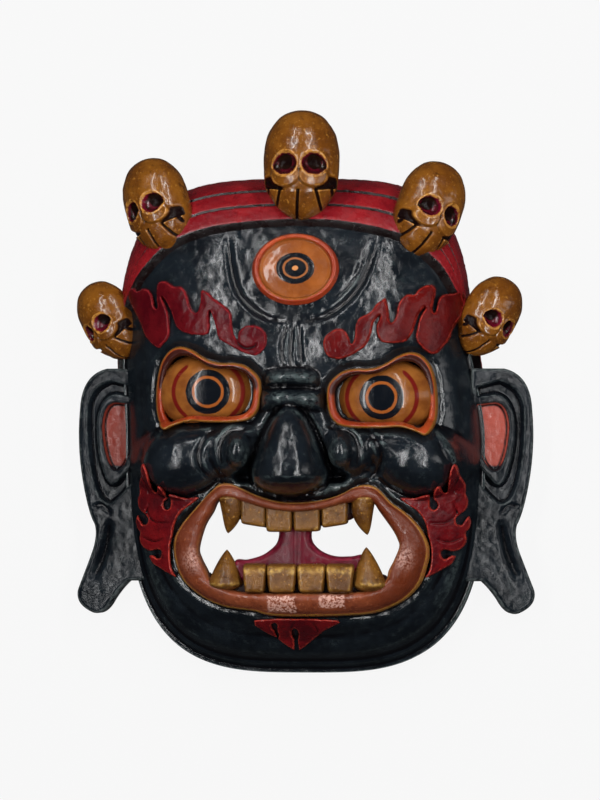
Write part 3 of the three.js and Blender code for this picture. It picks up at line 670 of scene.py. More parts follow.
def ring_paint(name, rings, base, rough, arc=None):
    """Painted rings: each (radius in mm, colour) fills up to its radius, read from the points' ring."""
    p = Paint(name, 0.12, 0.14, 0.04)
    wobble = p.ranged(p.cloud(160.0, 4.0, 0.5), 0.3, 0.7, -0.25, 0.25, "LINEAR")
    distance = p.sum_or_product("ADD", p.attribute("ring"), wobble)
    colour = p.mixed(base[0], base[1], p.ranged(p.cloud(90.0, 6.0, 0.5), 0.35, 0.65, kind="LINEAR"))
    if arc:
        colour = p.mixed(colour, arc, p.ranged(p.attribute("arc"), 0.35, 0.65, kind="LINEAR"))
    for radius, tint in sorted(rings, reverse=True):
        colour = p.mixed(colour, tint, p.ranged(distance, radius + 0.25, radius - 0.25, kind="LINEAR"))
    colour = p.mixed(colour, tuple(0.35 * c for c in base[0]),
                     p.ranged(p.attribute("relief"), -0.06, -0.5, kind="LINEAR"))
    marks = p.bumped(p.cloud(420.0, 5.0, 0.5), 0.25, 0.0008)
    return p.finished(Base_Color=colour, Normal=marks,
                      Roughness=p.ranged(p.cloud(130.0, 4.0, 0.5), 0.3, 0.7, rough, rough + 0.2, "LINEAR"))


BLACKS = [(0.003, 0.0042, 0.006), (0.006, 0.0085, 0.0115), (0.014, 0.019, 0.021)]
BLACK_HOLLOW_TINT = (0.002, 0.002, 0.003)
black = paint("black_lacquer", BLACKS, rough=(0.1, 0.27), bump=0.22, coat=0.12, wear_and_highlight=(0.05, 0.065, 0.065),
              wear_and_highlight_at=(0.2, 0.6), hollow_tint=BLACK_HOLLOW_TINT, gloss=0.3)
# On the headband the "line" attribute places painted shade, black along its lower edge and in its grooves
red = paint("crimson_paint", [(0.14, 0.0035, 0.007), (0.21, 0.008, 0.011), (0.07, 0.002, 0.004)],
            rough=(0.2, 0.42), bump=0.4, coat=0.06, hollow_tint=(0.01, 0.002, 0.003), hollow_tint_at=(-0.6, -1.2),
            edge=[("line", (0.004, 0.002, 0.002), 0.25, 0.6)], gloss=0.3)
wine_red = paint("wine_red_paint", [(0.045, 0.0015, 0.0035), (0.075, 0.003, 0.005), (0.022, 0.001, 0.002)],
                 rough=(0.12, 0.24), bump=0.35, coat=0.02, wear_and_highlight=(0.2, 0.012, 0.015),
                 hollow_tint=(0.008, 0.002, 0.003), gloss=0.1)
brick_red = paint("brick_red_paint",
                  [(0.055, 0.002, 0.0025), (0.085, 0.004, 0.0035), (0.027, 0.0012, 0.002)],
                  rough=(0.12, 0.24), bump=0.35, coat=0.02, wear_and_highlight=(0.26, 0.022, 0.015),
                  hollow_tint=(0.01, 0.002, 0.003), gloss=0.1)
flame_red = paint("flame_paint", [(0.055, 0.002, 0.004), (0.12, 0.0035, 0.005), (0.02, 0.0012, 0.0025)],
                  rough=(0.22, 0.42), bump=0.35, coat=0.05, wear_and_highlight=(0.32, 0.03, 0.02), wear_and_highlight_at=(0.12, 0.45),
                  hollow_tint=(0.01, 0.002, 0.003))
ochre = paint("ochre_lacquer", [(0.1, 0.031, 0.0035), (0.16, 0.056, 0.006), (0.04, 0.0125, 0.0025)],
              rough=(0.12, 0.3), bump=0.25, coat=0.3, wear_and_highlight=(0.36, 0.16, 0.03), hollow_tint=(0.01, 0.004, 0.002),
              spots=(0.24, 0.1, 0.015),
              edge=[("socket", (0.085, 0.0015, 0.01), 0.35, 0.6),
                    ("shadow", (0.005, 0.002, 0.002), 0.2, 0.7)])
lid_paint = paint("lid_paint", [(0.2, 0.022, 0.006), (0.29, 0.042, 0.009), (0.09, 0.009, 0.004)],
                  rough=(0.25, 0.45), coat=0.12, hollow_tint=(0.02, 0.004, 0.003), hollow_tint_at=(-0.3, -0.9),
                  edge=[("shade", (0.032, 0.006, 0.004), 0.1, 0.6), ("lit", (0.2, 0.075, 0.011), 0.4, 0.8)])
lip_paint = paint("lip_paint", [(0.12, 0.026, 0.011), (0.175, 0.042, 0.016), (0.055, 0.009, 0.005)],
                  rough=(0.24, 0.46), bump=0.4, coat=0.08, wear_and_highlight=(0.26, 0.09, 0.03),
                  hollow_tint=(0.02, 0.005, 0.004), spots=(0.24, 0.07, 0.03),
                  # darker sides of the lips, and painted shade on the upper lip
                  edge=[("dark_sides_and_shade", (0.09, 0.016, 0.005), 0.0, 1.0),
                        ("gold", (0.3, 0.15, 0.02), 0.4, 0.6),
                        # the pale colour for the painted reflections on the lower lip and the pale spots at
                        # its corners
                        ("reflection_and_pale_spots", (0.45, 0.25, 0.2), 0.2, 0.7)])
gold = paint("old_gold", [(0.07, 0.025, 0.004), (0.14, 0.058, 0.009), (0.02, 0.007, 0.002)],
             rough=(0.24, 0.46), bump=0.6, coat=0.12, wear_and_highlight=(0.48, 0.29, 0.07), wear_and_highlight_at=(0.12, 0.4),
             hollow_tint=(0.009, 0.004, 0.002), spots=(0.27, 0.13, 0.022))
tongue_paint = paint("tongue_paint", [(0.06, 0.002, 0.008), (0.095, 0.004, 0.012), (0.03, 0.0015, 0.005)],
                     rough=(0.28, 0.42), coat=0.02, wear_and_highlight=(0.16, 0.015, 0.03), gloss=0.15)
gum_paint = paint("gum_paint", [(0.014, 0.004, 0.004), (0.024, 0.005, 0.006), (0.008, 0.003, 0.003)])
bare_wood = paint("bare_wood", [(0.09, 0.05, 0.028), (0.13, 0.075, 0.042), (0.06, 0.033, 0.02)],
                  rough=(0.55, 0.8), bump=0.6, coat=0.0, grain=500.0, streak=(1.0, 0.15, 1.0),
                  hollow_tint=(0.03, 0.018, 0.012))
EAR_PATCH = {-1: (0.15, 0.022, 0.013), 1: (0.27, 0.05, 0.034)}
ear_paint = {
    side: paint(f"ear_paint_{name_of(side)}", BLACKS, rough=(0.16, 0.34), bump=0.25, coat=0.04,
                wear_and_highlight=(0.07, 0.08, 0.08), wear_and_highlight_at=(0.2, 0.6), hollow_tint=BLACK_HOLLOW_TINT,
                edge=[("patch", EAR_PATCH[side], 0.35, 0.65)], gloss=0.12)
    for side in SIDES
}
PUPIL = (0.003, 0.004, 0.006)
eye_paint = ring_paint("eye_paint", [(16.4, PUPIL), (11.9, (0.22, 0.06, 0.012)), (9.8, PUPIL)],
                       [(0.125, 0.037, 0.008), (0.21, 0.073, 0.014)], 0.08, arc=(0.1, 0.007, 0.005))
# The smallest ring, pale in the middle of the pupil, is a painted highlight
third_paint = ring_paint("third_eye_paint", [(14.2, PUPIL), (9.6, (0.22, 0.075, 0.024)), (7.9, PUPIL),
                                             (2.2, (0.45, 0.18, 0.06))],
                         [(0.23, 0.065, 0.012), (0.16, 0.042, 0.008)], 0.16)


# Face: one closed shell, outside and hollow, on the same grid of squares mapped to the plan

def make_face(across=190, along=246, bend_from=0.85):
    s, t = np.meshgrid(np.linspace(-1, 1, across), np.linspace(-1, 1, along), indexing="ij")
    m = np.maximum(np.abs(s), np.abs(t))
    tight = bend_from + (1 - bend_from) * np.sin(np.pi / 2 * (m - bend_from) / (1 - bend_from))
    share = np.where(m > bend_from, tight, m)
    angle = np.arctan2(t * HALF_HEIGHT, s * HALF_WIDTH)

    def spread(grow):
        radius = plan_radius(angle, grow) * share
        return radius * np.cos(angle), CENTRE_Y + radius * np.sin(angle)

    x, y = spread(0.0)
    front = np.clip(face_height(x, y), 0, None)
    front[[0, -1], :] = 0
    front[:, [0, -1]] = 0
    bx, by = spread(-WALL)
    back = hollow_height(bx, by)
    back[[0, -1], :] = 0
    back[:, [0, -1]] = 0
    back = back + 0.5 * facets(bx, by, 0, 14, 31) * smooth_step(0.0, 12.0, back)
    # The lips cover the edge of the hole for the mouth
    solid = ~inside_run(x, y, lip_outer * 0.62 + lip_inner * 0.38)
    quads = grid_faces(across, along)
    keep = solid.ravel()[quads].any(1)
    top = np.stack([x, y, front], -1).reshape(-1, 3)
    low = np.stack([bx, by, np.minimum(back, front - 3)], -1).reshape(-1, 3)
    low[:, 2] = np.clip(low[:, 2], 0, None)
    points, faces, used = closed_shell(keep, quads[:, ::-1], top, low)
    piece = make_piece("face", points, faces, [black, bare_wood])
    kept = int(keep.sum())
    inner = np.zeros(len(piece.data.polygons), np.int32)
    inner[kept:2 * kept] = 1
    piece.data.polygons.foreach_set("material_index", inner)
    return piece


# Lids, eyes and the third eye

def round_edge(inner, radius, height):
    """A rounded shoulder: how much of height a relief has risen at a depth inside its outline."""
    share = np.clip(inner / radius, 0, 1)
    return height * np.sqrt(np.clip(1 - (1 - share) ** 2, 0, 1))


def make_lids(side):
    _, cy = eye_at(side)
    outer, opening = lid_run(side), lid_run(side, *OPENING)

    def top(x, y, inner):
        past = np.clip(-depth_in(x, y, opening), 0, None)
        high = skin(x, y, 5.0) - 5.0 + round_edge(inner, 1.6, 5.0) + 1.0 * np.exp(-((past - 2.4) / 1.2) ** 2)
        high = high - 2.2 * (1 - np.clip(past / 1.4, 0, 1)) ** 2
        return high + 0.25 * facets(x, y, 0, 5, 17) + 0.12 * noise(x, y, 0, 2.5, 4)

    def bottom(x, y, inner):
        return skin(x, y, 0) - 15.0

    def shade(x, y, inner):
        return smooth_step(cy - 3, cy + 9, y) * smooth_step(1.8, 2.8, inner)

    def lit(x, y, inner):
        return smooth_step(2.2, 1.2, inner)

    relief_piece(f"lids_{name_of(side)}", outer, lid_paint, top, bottom, 0.65, opening,
                 {"shade": shade, "lit": lit})


EYE_RADII = (40.0, 30.0, 24.0)
EYE_STANDS = 3.5  # mm out of the skin


def make_eye(side):
    """The painted ball: rings round the pupil, with a red stroke on each side of them."""
    cx, cy = eye_at(side)
    rx, ry, rz = EYE_RADII
    level = float(skin(np.array(cx), np.array(cy))) + EYE_STANDS - rz
    around, rows = 120, 56
    u, v = np.meshgrid(np.linspace(0, 2 * np.pi, around + 1)[:-1], np.linspace(0, 1, rows), indexing="ij")
    polar = v * np.pi * 0.62
    x, y = cx + rx * np.sin(polar) * np.cos(u), cy + ry * np.sin(polar) * np.sin(u)
    z = level + rz * np.cos(polar) + 0.04 * facets(x, y, 0, 7, 23)
    points = np.vstack([np.stack([x, y, z], -1).reshape(-1, 3), [[cx, cy, level - 4]]])
    rim = np.arange(around) * rows + rows - 1
    faces = [list(f) for f in grid_faces(around, rows, wrap_rows=True)]
    faces += [[a, len(points) - 1, b] for a, b in zip(rim, np.roll(rim, -1))]
    dx, dy = points[:, 0] - cx, points[:, 1] - cy
    arc = np.exp(-((np.hypot(dx / 1.1, dy) - 23.5) / 1.7) ** 2) * smooth_step(13, 17, np.abs(dx))
    make_piece(f"eye_{name_of(side)}", points, faces, eye_paint, {"ring": np.hypot(dx, dy), "arc": arc})


THIRD_AT, THIRD_HALF, THIRD_SQUASH, THIRD_RIM, THIRD_LEAN = (-3.0, 90.8), 32.2, 0.86, 5.0, 0.3


def make_third_eye():
    """A leaning oval dish with a raised rim and a low boss in the middle."""
    cx, cy = THIRD_AT
    level = float(skin(np.array(cx), np.array(cy))) + 0.5
    around, rows, foot = 144, 60, -14.0
    u, v = np.meshgrid(np.linspace(0, 2 * np.pi, around + 1)[:-1], np.linspace(0, 1, rows), indexing="ij")
    radius = THIRD_HALF * v
    edge = smooth_step(THIRD_HALF, THIRD_HALF - 2.2, radius) * 3.6
    dish = -3.0 * smooth_step(THIRD_HALF - THIRD_RIM + 0.8, THIRD_HALF - THIRD_RIM - 1.0, radius)
    dish = dish + 2.0 * np.clip(1 - (radius / 24) ** 2, 0, 1)
    x, y = radius * np.cos(u), radius * np.sin(u) * THIRD_SQUASH
    z = edge + dish + 0.12 * facets(x, y, 0, 6, 41) + 0.4 * np.exp(-((radius - 12) / 2.0) ** 2)
    low = np.stack([x[:, -1], y[:, -1], np.full(around, foot)], -1)
    points = np.vstack([np.stack([x, y, z], -1).reshape(-1, 3), low, [[0, 0, foot]]])
    leaning = points.copy()
    leaning[:, 1] = points[:, 1] * math.cos(THIRD_LEAN) + points[:, 2] * math.sin(THIRD_LEAN)
    leaning[:, 2] = points[:, 2] * math.cos(THIRD_LEAN) - points[:, 1] * math.sin(THIRD_LEAN)
    rim = np.arange(around) * rows + rows - 1
    low_at = around * rows + np.arange(around)
    faces = [list(f) for f in grid_faces(around, rows, wrap_rows=True)]
    faces += [[a, c, d, b] for a, b, c, d in zip(rim, np.roll(rim, -1), low_at, np.roll(low_at, -1))]
    faces += [[c, len(points) - 1, d] for c, d in zip(low_at, np.roll(low_at, -1))]
    ring = np.hypot(points[:, 0], points[:, 1] / THIRD_SQUASH)
    leaning = leaning + (cx, cy, level)
    piece = make_piece("third_eye", leaning, faces, [third_paint, lid_paint], {"ring": ring})

    def on_rim(polygon):
        places = [np.array(piece.data.vertices[i].co[:2]) / MM - (cx, cy + LIFT_Y) for i in polygon.vertices]
        return max(math.hypot(*(place / (1, THIRD_SQUASH))) for place in places) > THIRD_HALF - THIRD_RIM

    outer = np.array([on_rim(polygon) for polygon in piece.data.polygons], np.int32)
    piece.data.polygons.foreach_set("material_index", outer)


# Brows, flames and the headband

def patch_rule(thickness, lines=(), width=2.6, depth=1.8, grain=5, ridge=0.0):
    """Heights of a raised patch: round shoulders, with grooves along lines."""

    def top(x, y, inner):
        high = skin(x, y, thickness) - thickness + round_edge(inner, 0.3 * thickness, thickness)
        for line in lines:
            high = high - groove(x, y, line, width, depth)
        high = high + ridge * np.clip(inner / 6, 0, 1)
        return high + 0.35 * facets(x, y, 0, 5.5, grain) + 0.12 * noise(x, y, 0, 2.2, grain + 1)

    def bottom(x, y, inner):
        return np.maximum(skin(x, y, 0) - 6.0, 3.0)

    return top, bottom


BROW_CURL = [(-45.5, 38.5), (-43, 34.5), (-38, 32), (-32, 33.5), (-30.5, 36.5)]
BROW_CREASES = {
    -1: [[(-102.5, 70), (-99, 64), (-97, 57), (-96.5, 48)], [(-66, 58.5), (-65.5, 50)], BROW_CURL],
    1: [[(92.5, 62.5), (88, 55), (86, 46)], [(60, 56), (57.5, 50)]],
}
CHEEK_CREASES = [[(115.8, -86), (114, -92), (108, -96.5), (97, -97)],
                 [(119, -108), (110, -111), (102, -109)],
                 [(118, -60), (113, -76)],
                 [(123, -93), (116, -90), (113, -82)]]
CHIN_CREASES = [[(-3.5, -170), (-6.5, -175), (-6, -180)], [(9.5, -171), (12.5, -176), (12, -182)],
                [(19.5, -174), (19, -181)]]


def make_brow(side):
    outline = smooth_run(BROW_LEFT if side < 0 else BROW_RIGHT, True, 4)
    creases = [line_run(line) for line in BROW_CREASES[side]]
    heights = patch_rule(6.0, creases, width=2.4, depth=3.0, ridge=0.6)
    relief_piece(f"brow_{name_of(side)}", outline, wine_red if side < 0 else brick_red, *heights, 0.6)


def make_cheek_flame(side):
    outline = smooth_run([(side * x, y) for x, y in CHEEK_FLAME], True, 4)
    creases = [line_run(line, side) for line in CHEEK_CREASES]
    heights = patch_rule(4.0, creases, width=2.2, depth=2.2, grain=8)
    relief_piece(f"cheek_flame_{name_of(side)}", outline, flame_red, *heights, 0.55)


def make_chin_flame():
    heights = patch_rule(3.0, [line_run(line) for line in CHIN_CREASES], width=2.0, depth=2.0)
    relief_piece("chin_flame", smooth_run(CHIN_FLAME, True, 3), flame_red, *heights, 0.5)


# The band's edge on the forehead, from one ear over the crown to the other
BAND_EDGE = [(126, 14), (123, 30), (119, 45), (113, 62), (106, 77), (101, 86), (94, 94), (77, 108.5),
    (63, 114), (50, 117.5), (25, 121.6), (0, 122.5), (-25, 121.8), (-55, 118.5), (-70, 115.5), (-86, 110),
    (-97, 103.5), (-106, 96), (-115, 86), (-122, 76), (-128, 62), (-132, 45), (-135.5, 30), (-138, 14)]
BAND_HIGH = 6.0
BAND_GROOVES = (0.36, 0.7)  # shares of the way from the band's edge to the head's outline


def make_band():
    """The headband follows the plan's own rays, from its lower edge to the head's outline."""
    edge = smooth_run(BAND_EDGE, False, 18)
    angle = np.unwrap(np.arctan2(edge[:, 1] - CENTRE_Y, edge[:, 0]))
    away = np.hypot(edge[:, 0], edge[:, 1] - CENTRE_Y)
    start = np.clip(away / plan_radius(angle, 0.0), 0, 0.999)[:, None]
    columns = 110
    angles, v = np.meshgrid(angle, np.linspace(0, 1, columns), indexing="ij")
    # Rows close up towards the steep rim
    share = start + (1 - start) * np.sin(v * np.pi / 2) ** 0.9
    flat = (share - start) / (1 - start)
    run = np.linspace(0, 1, len(angle))[:, None] * 700
    lift = BAND_HIGH * np.sqrt(np.clip(1 - (1 - np.clip(flat * 22, 0, 1)) ** 2, 0, 1))
    # Painted shade: black along the band's lower edge and over both walls of each groove
    painted_shade_lines = smooth_step(0.04, 0.025, flat)
    for at in BAND_GROOVES:
        lift = lift - 1.8 * np.exp(-((flat - at) / 0.03) ** 4) - 0.9 * smooth_step(at, at + 0.015, flat)
        painted_shade_lines = painted_shade_lines + np.exp(-((flat - at - 0.005) / 0.035) ** 4)
    lift = lift + 0.3 * facets(run, flat * 36, 0, 9, 51) + 0.15 * noise(run, flat * 36, 0, 3, 52)

    def place(grow):
        radius = plan_radius(angles, grow) * share
        x, y = radius * np.cos(angles), CENTRE_Y + radius * np.sin(angles)
        z = (DEPTH + grow) * np.clip(1 - share ** SWELL, 0, 1) ** (1 / SWELL)
        return np.stack([x, y, z], -1).reshape(-1, 3)

    quads = grid_faces(len(angle), columns)
    upper, lower = place(lift), place(np.full_like(lift, -5.0))
    points, faces, used = closed_shell(np.ones(len(quads), bool), quads, upper, lower)
    lines = np.concatenate([painted_shade_lines.ravel(), np.zeros(painted_shade_lines.size)])[used]
    make_piece("headband", points, faces, red, {"line": lines})


# Lips, teeth and tongue

LIP_HIGH = 9.0
MOUTH_FLOOR = 62.0  # how deep the lips, gums and tongue reach before the wall stops them
# Painted reflections of the lamps on the lower lip, as pale blocks: middle, half width and half height
PAINTED_LIP_REFLECTIONS = [((-12, -156.5), (10.5, 6.2)), ((24.5, -154), (9.5, 5))]
# Pale spots at the corners of the mouth: middle
PALE_LIP_SPOTS = [(-79, -124), (78, -122)]


# How much of the lip takes the pale colour: painted reflections in blocks, and softer pale spots
def lip_reflections_and_spots(x, y):
    share = np.zeros(x.shape)
    for (at_x, at_y), (wide, tall) in PAINTED_LIP_REFLECTIONS:
        box = np.minimum(wide - np.abs(x - at_x), tall - np.abs(y - at_y))
        share = np.maximum(share, smooth_step(-1.5, 2.0, box + 1.2 * noise(x, y, 0, 4, 8)))
    for at_x, at_y in PALE_LIP_SPOTS:
        spot = ((x - at_x) / 12) ** 2 + ((y - at_y) / 15) ** 2
        share = np.maximum(share, 0.5 * np.exp(-spot))
    return share


def make_lips():
    """Swept round the mouth: up from the skin at the outer line, over the lip, and down inside it."""
    count, steps = len(lip_outer), 27
    across = np.linspace(0, 1, steps)
    flat = lip_outer[:, None, :] + (lip_inner - lip_outer)[:, None, :] * across[None, :, None]
    x, y = flat[..., 0], flat[..., 1]
    base = skin(x, y)
    body = LIP_HIGH * np.clip(1 - np.abs(2 * across - 1) ** 2.6, 0, 1) ** (1 / 2.0)
    line = 0.8 * np.exp(-((across - 0.07) / 0.04) ** 2) - 0.7 * np.exp(-((across - 0.14) / 0.03) ** 2)
    z = base + np.maximum(body, 1.0)[None, :] + line[None, :] + 0.5 * facets(x, y, 0, 7, 61)
    z = z + 0.2 * noise(x, y, 0, 3, 62)
    rows = [np.stack([x, y, z], -1)]
    walls = [(-1, z[:, -1] + (MOUTH_FLOOR - z[:, -1]) * level) for level in (0.35, 0.7, 1.0)]
    walls += [(0, np.full(count, MOUTH_FLOOR)), (0, base[:, 0] - 7)]
    rows += [np.stack([x[:, at], y[:, at], height], -1)[:, None, :] for at, height in walls]
    points = np.concatenate(rows, 1)
    gold_line = np.zeros(points.shape[:2])
    gold_line[:, :steps] = 1 - smooth_step(0.08, 0.12, across)[None, :]
    px, py = points[..., 0], points[..., 1]
    # Darker towards both sides, most on the right, and painted shade along the upper lip
    dark_sides_and_shade = 0.7 * smooth_step(40, 70, px) + 0.3 * smooth_step(50, 76, -px) + 0.4 * smooth_step(-95, -80, py)
    faces = grid_faces(count, points.shape[1], wrap_rows=True, wrap_columns=True)
    shares = {"gold": gold_line.ravel(), "reflection_and_pale_spots": lip_reflections_and_spots(px.ravel(), py.ravel()), "dark_sides_and_shade": dark_sides_and_shade.ravel()}
    make_piece("lips", points.reshape(-1, 3), faces, lip_paint, shares)


def rounded_block(name, centre, half, material, shape, seed=0, grain=18, power=9.0):
    """A hand-cut block with rounded edges: a cube's grid drawn in to a super-ellipsoid, moved by shape."""
    line = np.sin(np.linspace(-1, 1, grain) * np.pi / 2 * 0.98)
    a, b = np.meshgrid(line, line, indexing="ij")
    sheets, faces, first = [], [], 0
    for axis in range(3):
        for side in (-1, 1):
            cube = np.empty((grain, grain, 3))
            cube[..., axis], cube[..., (axis + 1) % 3], cube[..., (axis + 2) % 3] = side * line[-1], a, b
            sheets.append(cube.reshape(-1, 3))
            faces.append(grid_faces(grain, grain, first, flip=side > 0))
            first += grain * grain
    points, faces = welded(np.concatenate(sheets), np.concatenate(faces))
    points = points / (np.abs(points) ** power).sum(1, keepdims=True) ** (1 / power) * half
    points = shape(points) + centre
    dent = 0.5 * facets(points[:, 0], points[:, 1], points[:, 2], 5.5, 70 + seed)
    dent = dent + 0.2 * noise(points[:, 0], points[:, 1], points[:, 2], 2.0, 80 + seed)
    points[:, 2] += dent * (points[:, 2] > centre[2])
    make_piece(name, points, faces, material)


def welded(points, faces):
    """The same mesh with points at one place made one."""
    _, first, back = np.unique(np.round(points, 5), axis=0, return_index=True, return_inverse=True)
    return points[first], back.reshape(-1)[faces]


# Upper teeth: middle, half width, tip, root and how far they splay. Lower teeth: middle and half width
UPPER_TEETH = [(-33.3, 9.7, -98.8, -79, -0.16), (-14.2, 10.1, -103.4, -82, 0), (6.3, 10.2, -103.0, -82, 0),
               (26.9, 10.0, -99.0, -79, 0.16)]
LOWER_TEETH = [(-32.0, 8.8), (-12.1, 11.3), (9.8, 10.8), (30.9, 10.5)]


def make_teeth():
    def splayed(points, splay):
        points[:, 0] *= 0.97 + 0.03 * points[:, 1] / 12
        points[:, 1] += splay * points[:, 0] * (points[:, 1] < 0)
        return points

    def sloped(points):
        points[:, 0] *= 1 - 0.17 * np.clip((6 - points[:, 1]) / 17, 0, 1)
        back = np.clip(points[:, 1] - 3.5, 0, None)
        points[:, 2] -= 0.1 * back ** 2 * (points[:, 2] > 0)
        return points

    for k, (x, half, tip, root, splay) in enumerate(UPPER_TEETH):
        rounded_block(f"upper_tooth_{k + 1}", (x, (tip + root) / 2, 75.0), (half, (root - tip) / 2, 18.5),
                      gold, lambda points, splay=splay: splayed(points, splay), k)
    for k, (x, half) in enumerate(LOWER_TEETH):
        rounded_block(f"lower_tooth_{k + 1}", (x, -137.3, 78.0), (half, 10.8, 19.0), gold, sloped, 10 + k)


def make_fang(name, root, tip, half, level, seed, widest, bow):
    """A tusk: rounded at the root, broadest part of the way along, and drawn out to a blunt tip."""
    around, along = 40, 44
    u, v = np.meshgrid(np.linspace(0, 2 * np.pi, around + 1)[:-1], np.linspace(0, 1, along), indexing="ij")
    v = v ** 1.2
    start = np.sqrt(np.clip(1 - (1 - np.clip(v / widest, 0, 1)) ** 2, 0, 1)) if widest else 1
    past = np.clip((v - widest) / (1 - widest), 0, 1)
    width = half * start * (1 - past ** (1.2 if widest > 0.12 else 2.2)) ** 0.8
    width[:, 0] = width[:, -1] = 0
    x = root[0] + (tip[0] - root[0]) * v + bow * np.sin(np.pi * v) + width * np.cos(u)
    y = root[1] + (tip[1] - root[1]) * v
    z = level + width * 1.15 * np.sin(u) - 3 * v
    z = z + 0.6 * facets(x, y, z, 5, seed) * (width > 1)
    faces = grid_faces(around, along, wrap_rows=True, flip=tip[1] < root[1])
    make_piece(name, np.stack([x, y, z], -1).reshape(-1, 3), faces, gold)


# Root, tip, half width, height of the axis, seed, where it is widest, and how far it bows
FANGS = {
    "upper_fang_left": ((-51.0, -76), (-52.3, -104.5), 8.4, 88, 91, 0.1, 2.4),
    "upper_fang_right": ((49.0, -76), (50.8, -105.5), 8.6, 88, 92, 0.1, -2.4),
    "lower_fang_left": ((-54.5, -146.5), (-53.6, -116.5), 12.6, 82, 93, 0.18, 0),
    "lower_fang_right": ((52.5, -147.5), (49.6, -114.5), 12.6, 82, 94, 0.18, 0),
}
TONGUE = [(-14.5, -92), (-15, -105), (-17, -112), (-22, -117), (-28.5, -121), (-39, -124), (-48, -125),
    (-48, -140), (48, -140), (48, -121.5), (38, -121.5), (27.4, -121.5), (18.8, -119), (12.4, -114.4),
    (9, -108), (8, -92)]


def mouth_floor(x, y, inner):
    return np.full(np.shape(x), MOUTH_FLOOR)


def make_tongue():

    def top(x, y, inner):
        high = 77 + round_edge(inner, 5.0, 6.0) + 3.0 * np.exp(-((x + 1) / 14) ** 2)
        return high - 0.8 * np.exp(-((x + 1.0) / 1.5) ** 2) + 0.3 * facets(x, y, 0, 6, 97)

    relief_piece("tongue", smooth_run(TONGUE, True, 5), tongue_paint, top, mouth_floor, 1.0)


# Each gum's height and outline
GUMS = {
    "upper_gum": (86.0, [(-56, -80), (-56, -86), (-51, -88), (-43, -94.5), (-34.7, -97), (-26, -100),
                         (-14, -102), (6, -101.5), (23, -97.5), (38, -94.5), (46, -89.5), (54, -86),
                         (54, -80)]),
    "lower_gum": (80.0, [(-66, -152), (-66, -136), (-46, -129), (45, -129), (64, -136), (64, -152)]),
}


def make_gum(name, level, outline):
    def top(x, y, inner):
        return level - 3 + round_edge(inner, 3.0, 3.0)

    relief_piece(name, np.array(outline, float), gum_paint, top, mouth_floor, 1.4)


# Skulls

# Each skull's place and size, and its turn in degrees: in the picture, to the side, and back
SKULLS = {
    "centre": ((0, 172.5, 57), 1.0, 0, 0, -8),
    "upper_left": ((-109.5, 142, 44), 0.9, 25, -30, -16),
    "upper_right": ((95, 139, 46), 0.9, -27, 30, -16),
    "lower_left": ((-148, 56, 26), 0.77, 40, -40, -12),
    "lower_right": ((139, 59, 26), 0.77, -38, 40, -12),
}
SKULL_PROFILE = [(36.5, 0), (35.8, 7), (32.5, 14.5), (27.2, 19.8), (18, 25.2), (8.7, 27.4), (-0.5, 28),
    (-9.8, 27.8), (-19, 27), (-23.7, 25.8), (-28.3, 23.2), (-33, 20), (-37.6, 16.6), (-42.2, 11),
    (-45, 5.5), (-46, 0)]
# Lines between the teeth: places across, at the cheekbones and at the chin
TOOTH_LINES = [(-24.0, -27.0), (-14.6, -20.5), (-0.9, -2.5), (12.2, 16.5), (23.2, 25.0)]


def skull_relief(x, y):
    """How far the front stands out at each place, with the socket and shadow shares for the paint."""
    lift = np.zeros(np.shape(x))
    socket, shadow = np.zeros(np.shape(x)), np.zeros(np.shape(x))
    lobes = np.zeros(np.shape(x))
    for side in SIDES:
        dx, dy = (x - side * 10.6), y + 6.8
        away = np.hypot((dx + 0.12 * side * dy) / 8.7, (dy - 0.1 * side * dx) / 8.6)
        away = away - 0.1 * np.exp(-((np.arctan2(dy, side * dx) + 0.2) / 0.35) ** 2)
        lift -= 9.5 * np.sqrt(np.clip(1 - away ** 2, 0, 1))
        lift += 0.8 * np.exp(-((away - 1.1) / 0.1) ** 2)
        socket = np.maximum(socket, 1 - smooth_step(0.95, 1.05, away))
        dark = smooth_step(0.7, 0.35, away - 0.05 * dy) * smooth_step(1.0, 0.94, away)
        shadow = np.maximum(shadow, dark)
        lobe = np.hypot((x - side * 10.6) / 10.9, (y + 15.6) / 8.4)
        lobes = np.maximum(lobes, smooth_step(1.04, 0.9, lobe))
    teeth_at = -26.3 + 0.006 * x ** 2
    under = smooth_step(teeth_at - 1.2, teeth_at, y) * smooth_step(-13.5, -17.0, y) * (1 - lobes)
    under = under * smooth_step(28.5, 25.5, np.abs(x))
    under = under * (0.15 + 0.85 * smooth_step(9.0, 16.0, np.abs(x)))
    lift -= 4.0 * under
    shadow = np.maximum(shadow, under)
    lift += 1.6 * lobes * smooth_step(-8, -14, y)
    down = np.clip((-26 - y) / 18, 0, 1.2)
    for start, end in TOOTH_LINES:
        line = np.exp(-((x - start - (end - start) * down) / 1.15) ** 4)
        line = line * smooth_step(teeth_at + 1.5, teeth_at, y)
        lift -= 3.0 * line
        shadow = np.maximum(shadow, line)
    return lift, socket, shadow


def turned(points, axis, degrees):
    c, s = math.cos(math.radians(degrees)), math.sin(math.radians(degrees))
    k, m = [(1, 2), (2, 0), (0, 1)][axis]
    moved = points.copy()
    moved[:, k], moved[:, m] = c * points[:, k] - s * points[:, m], s * points[:, k] + c * points[:, m]
    return moved


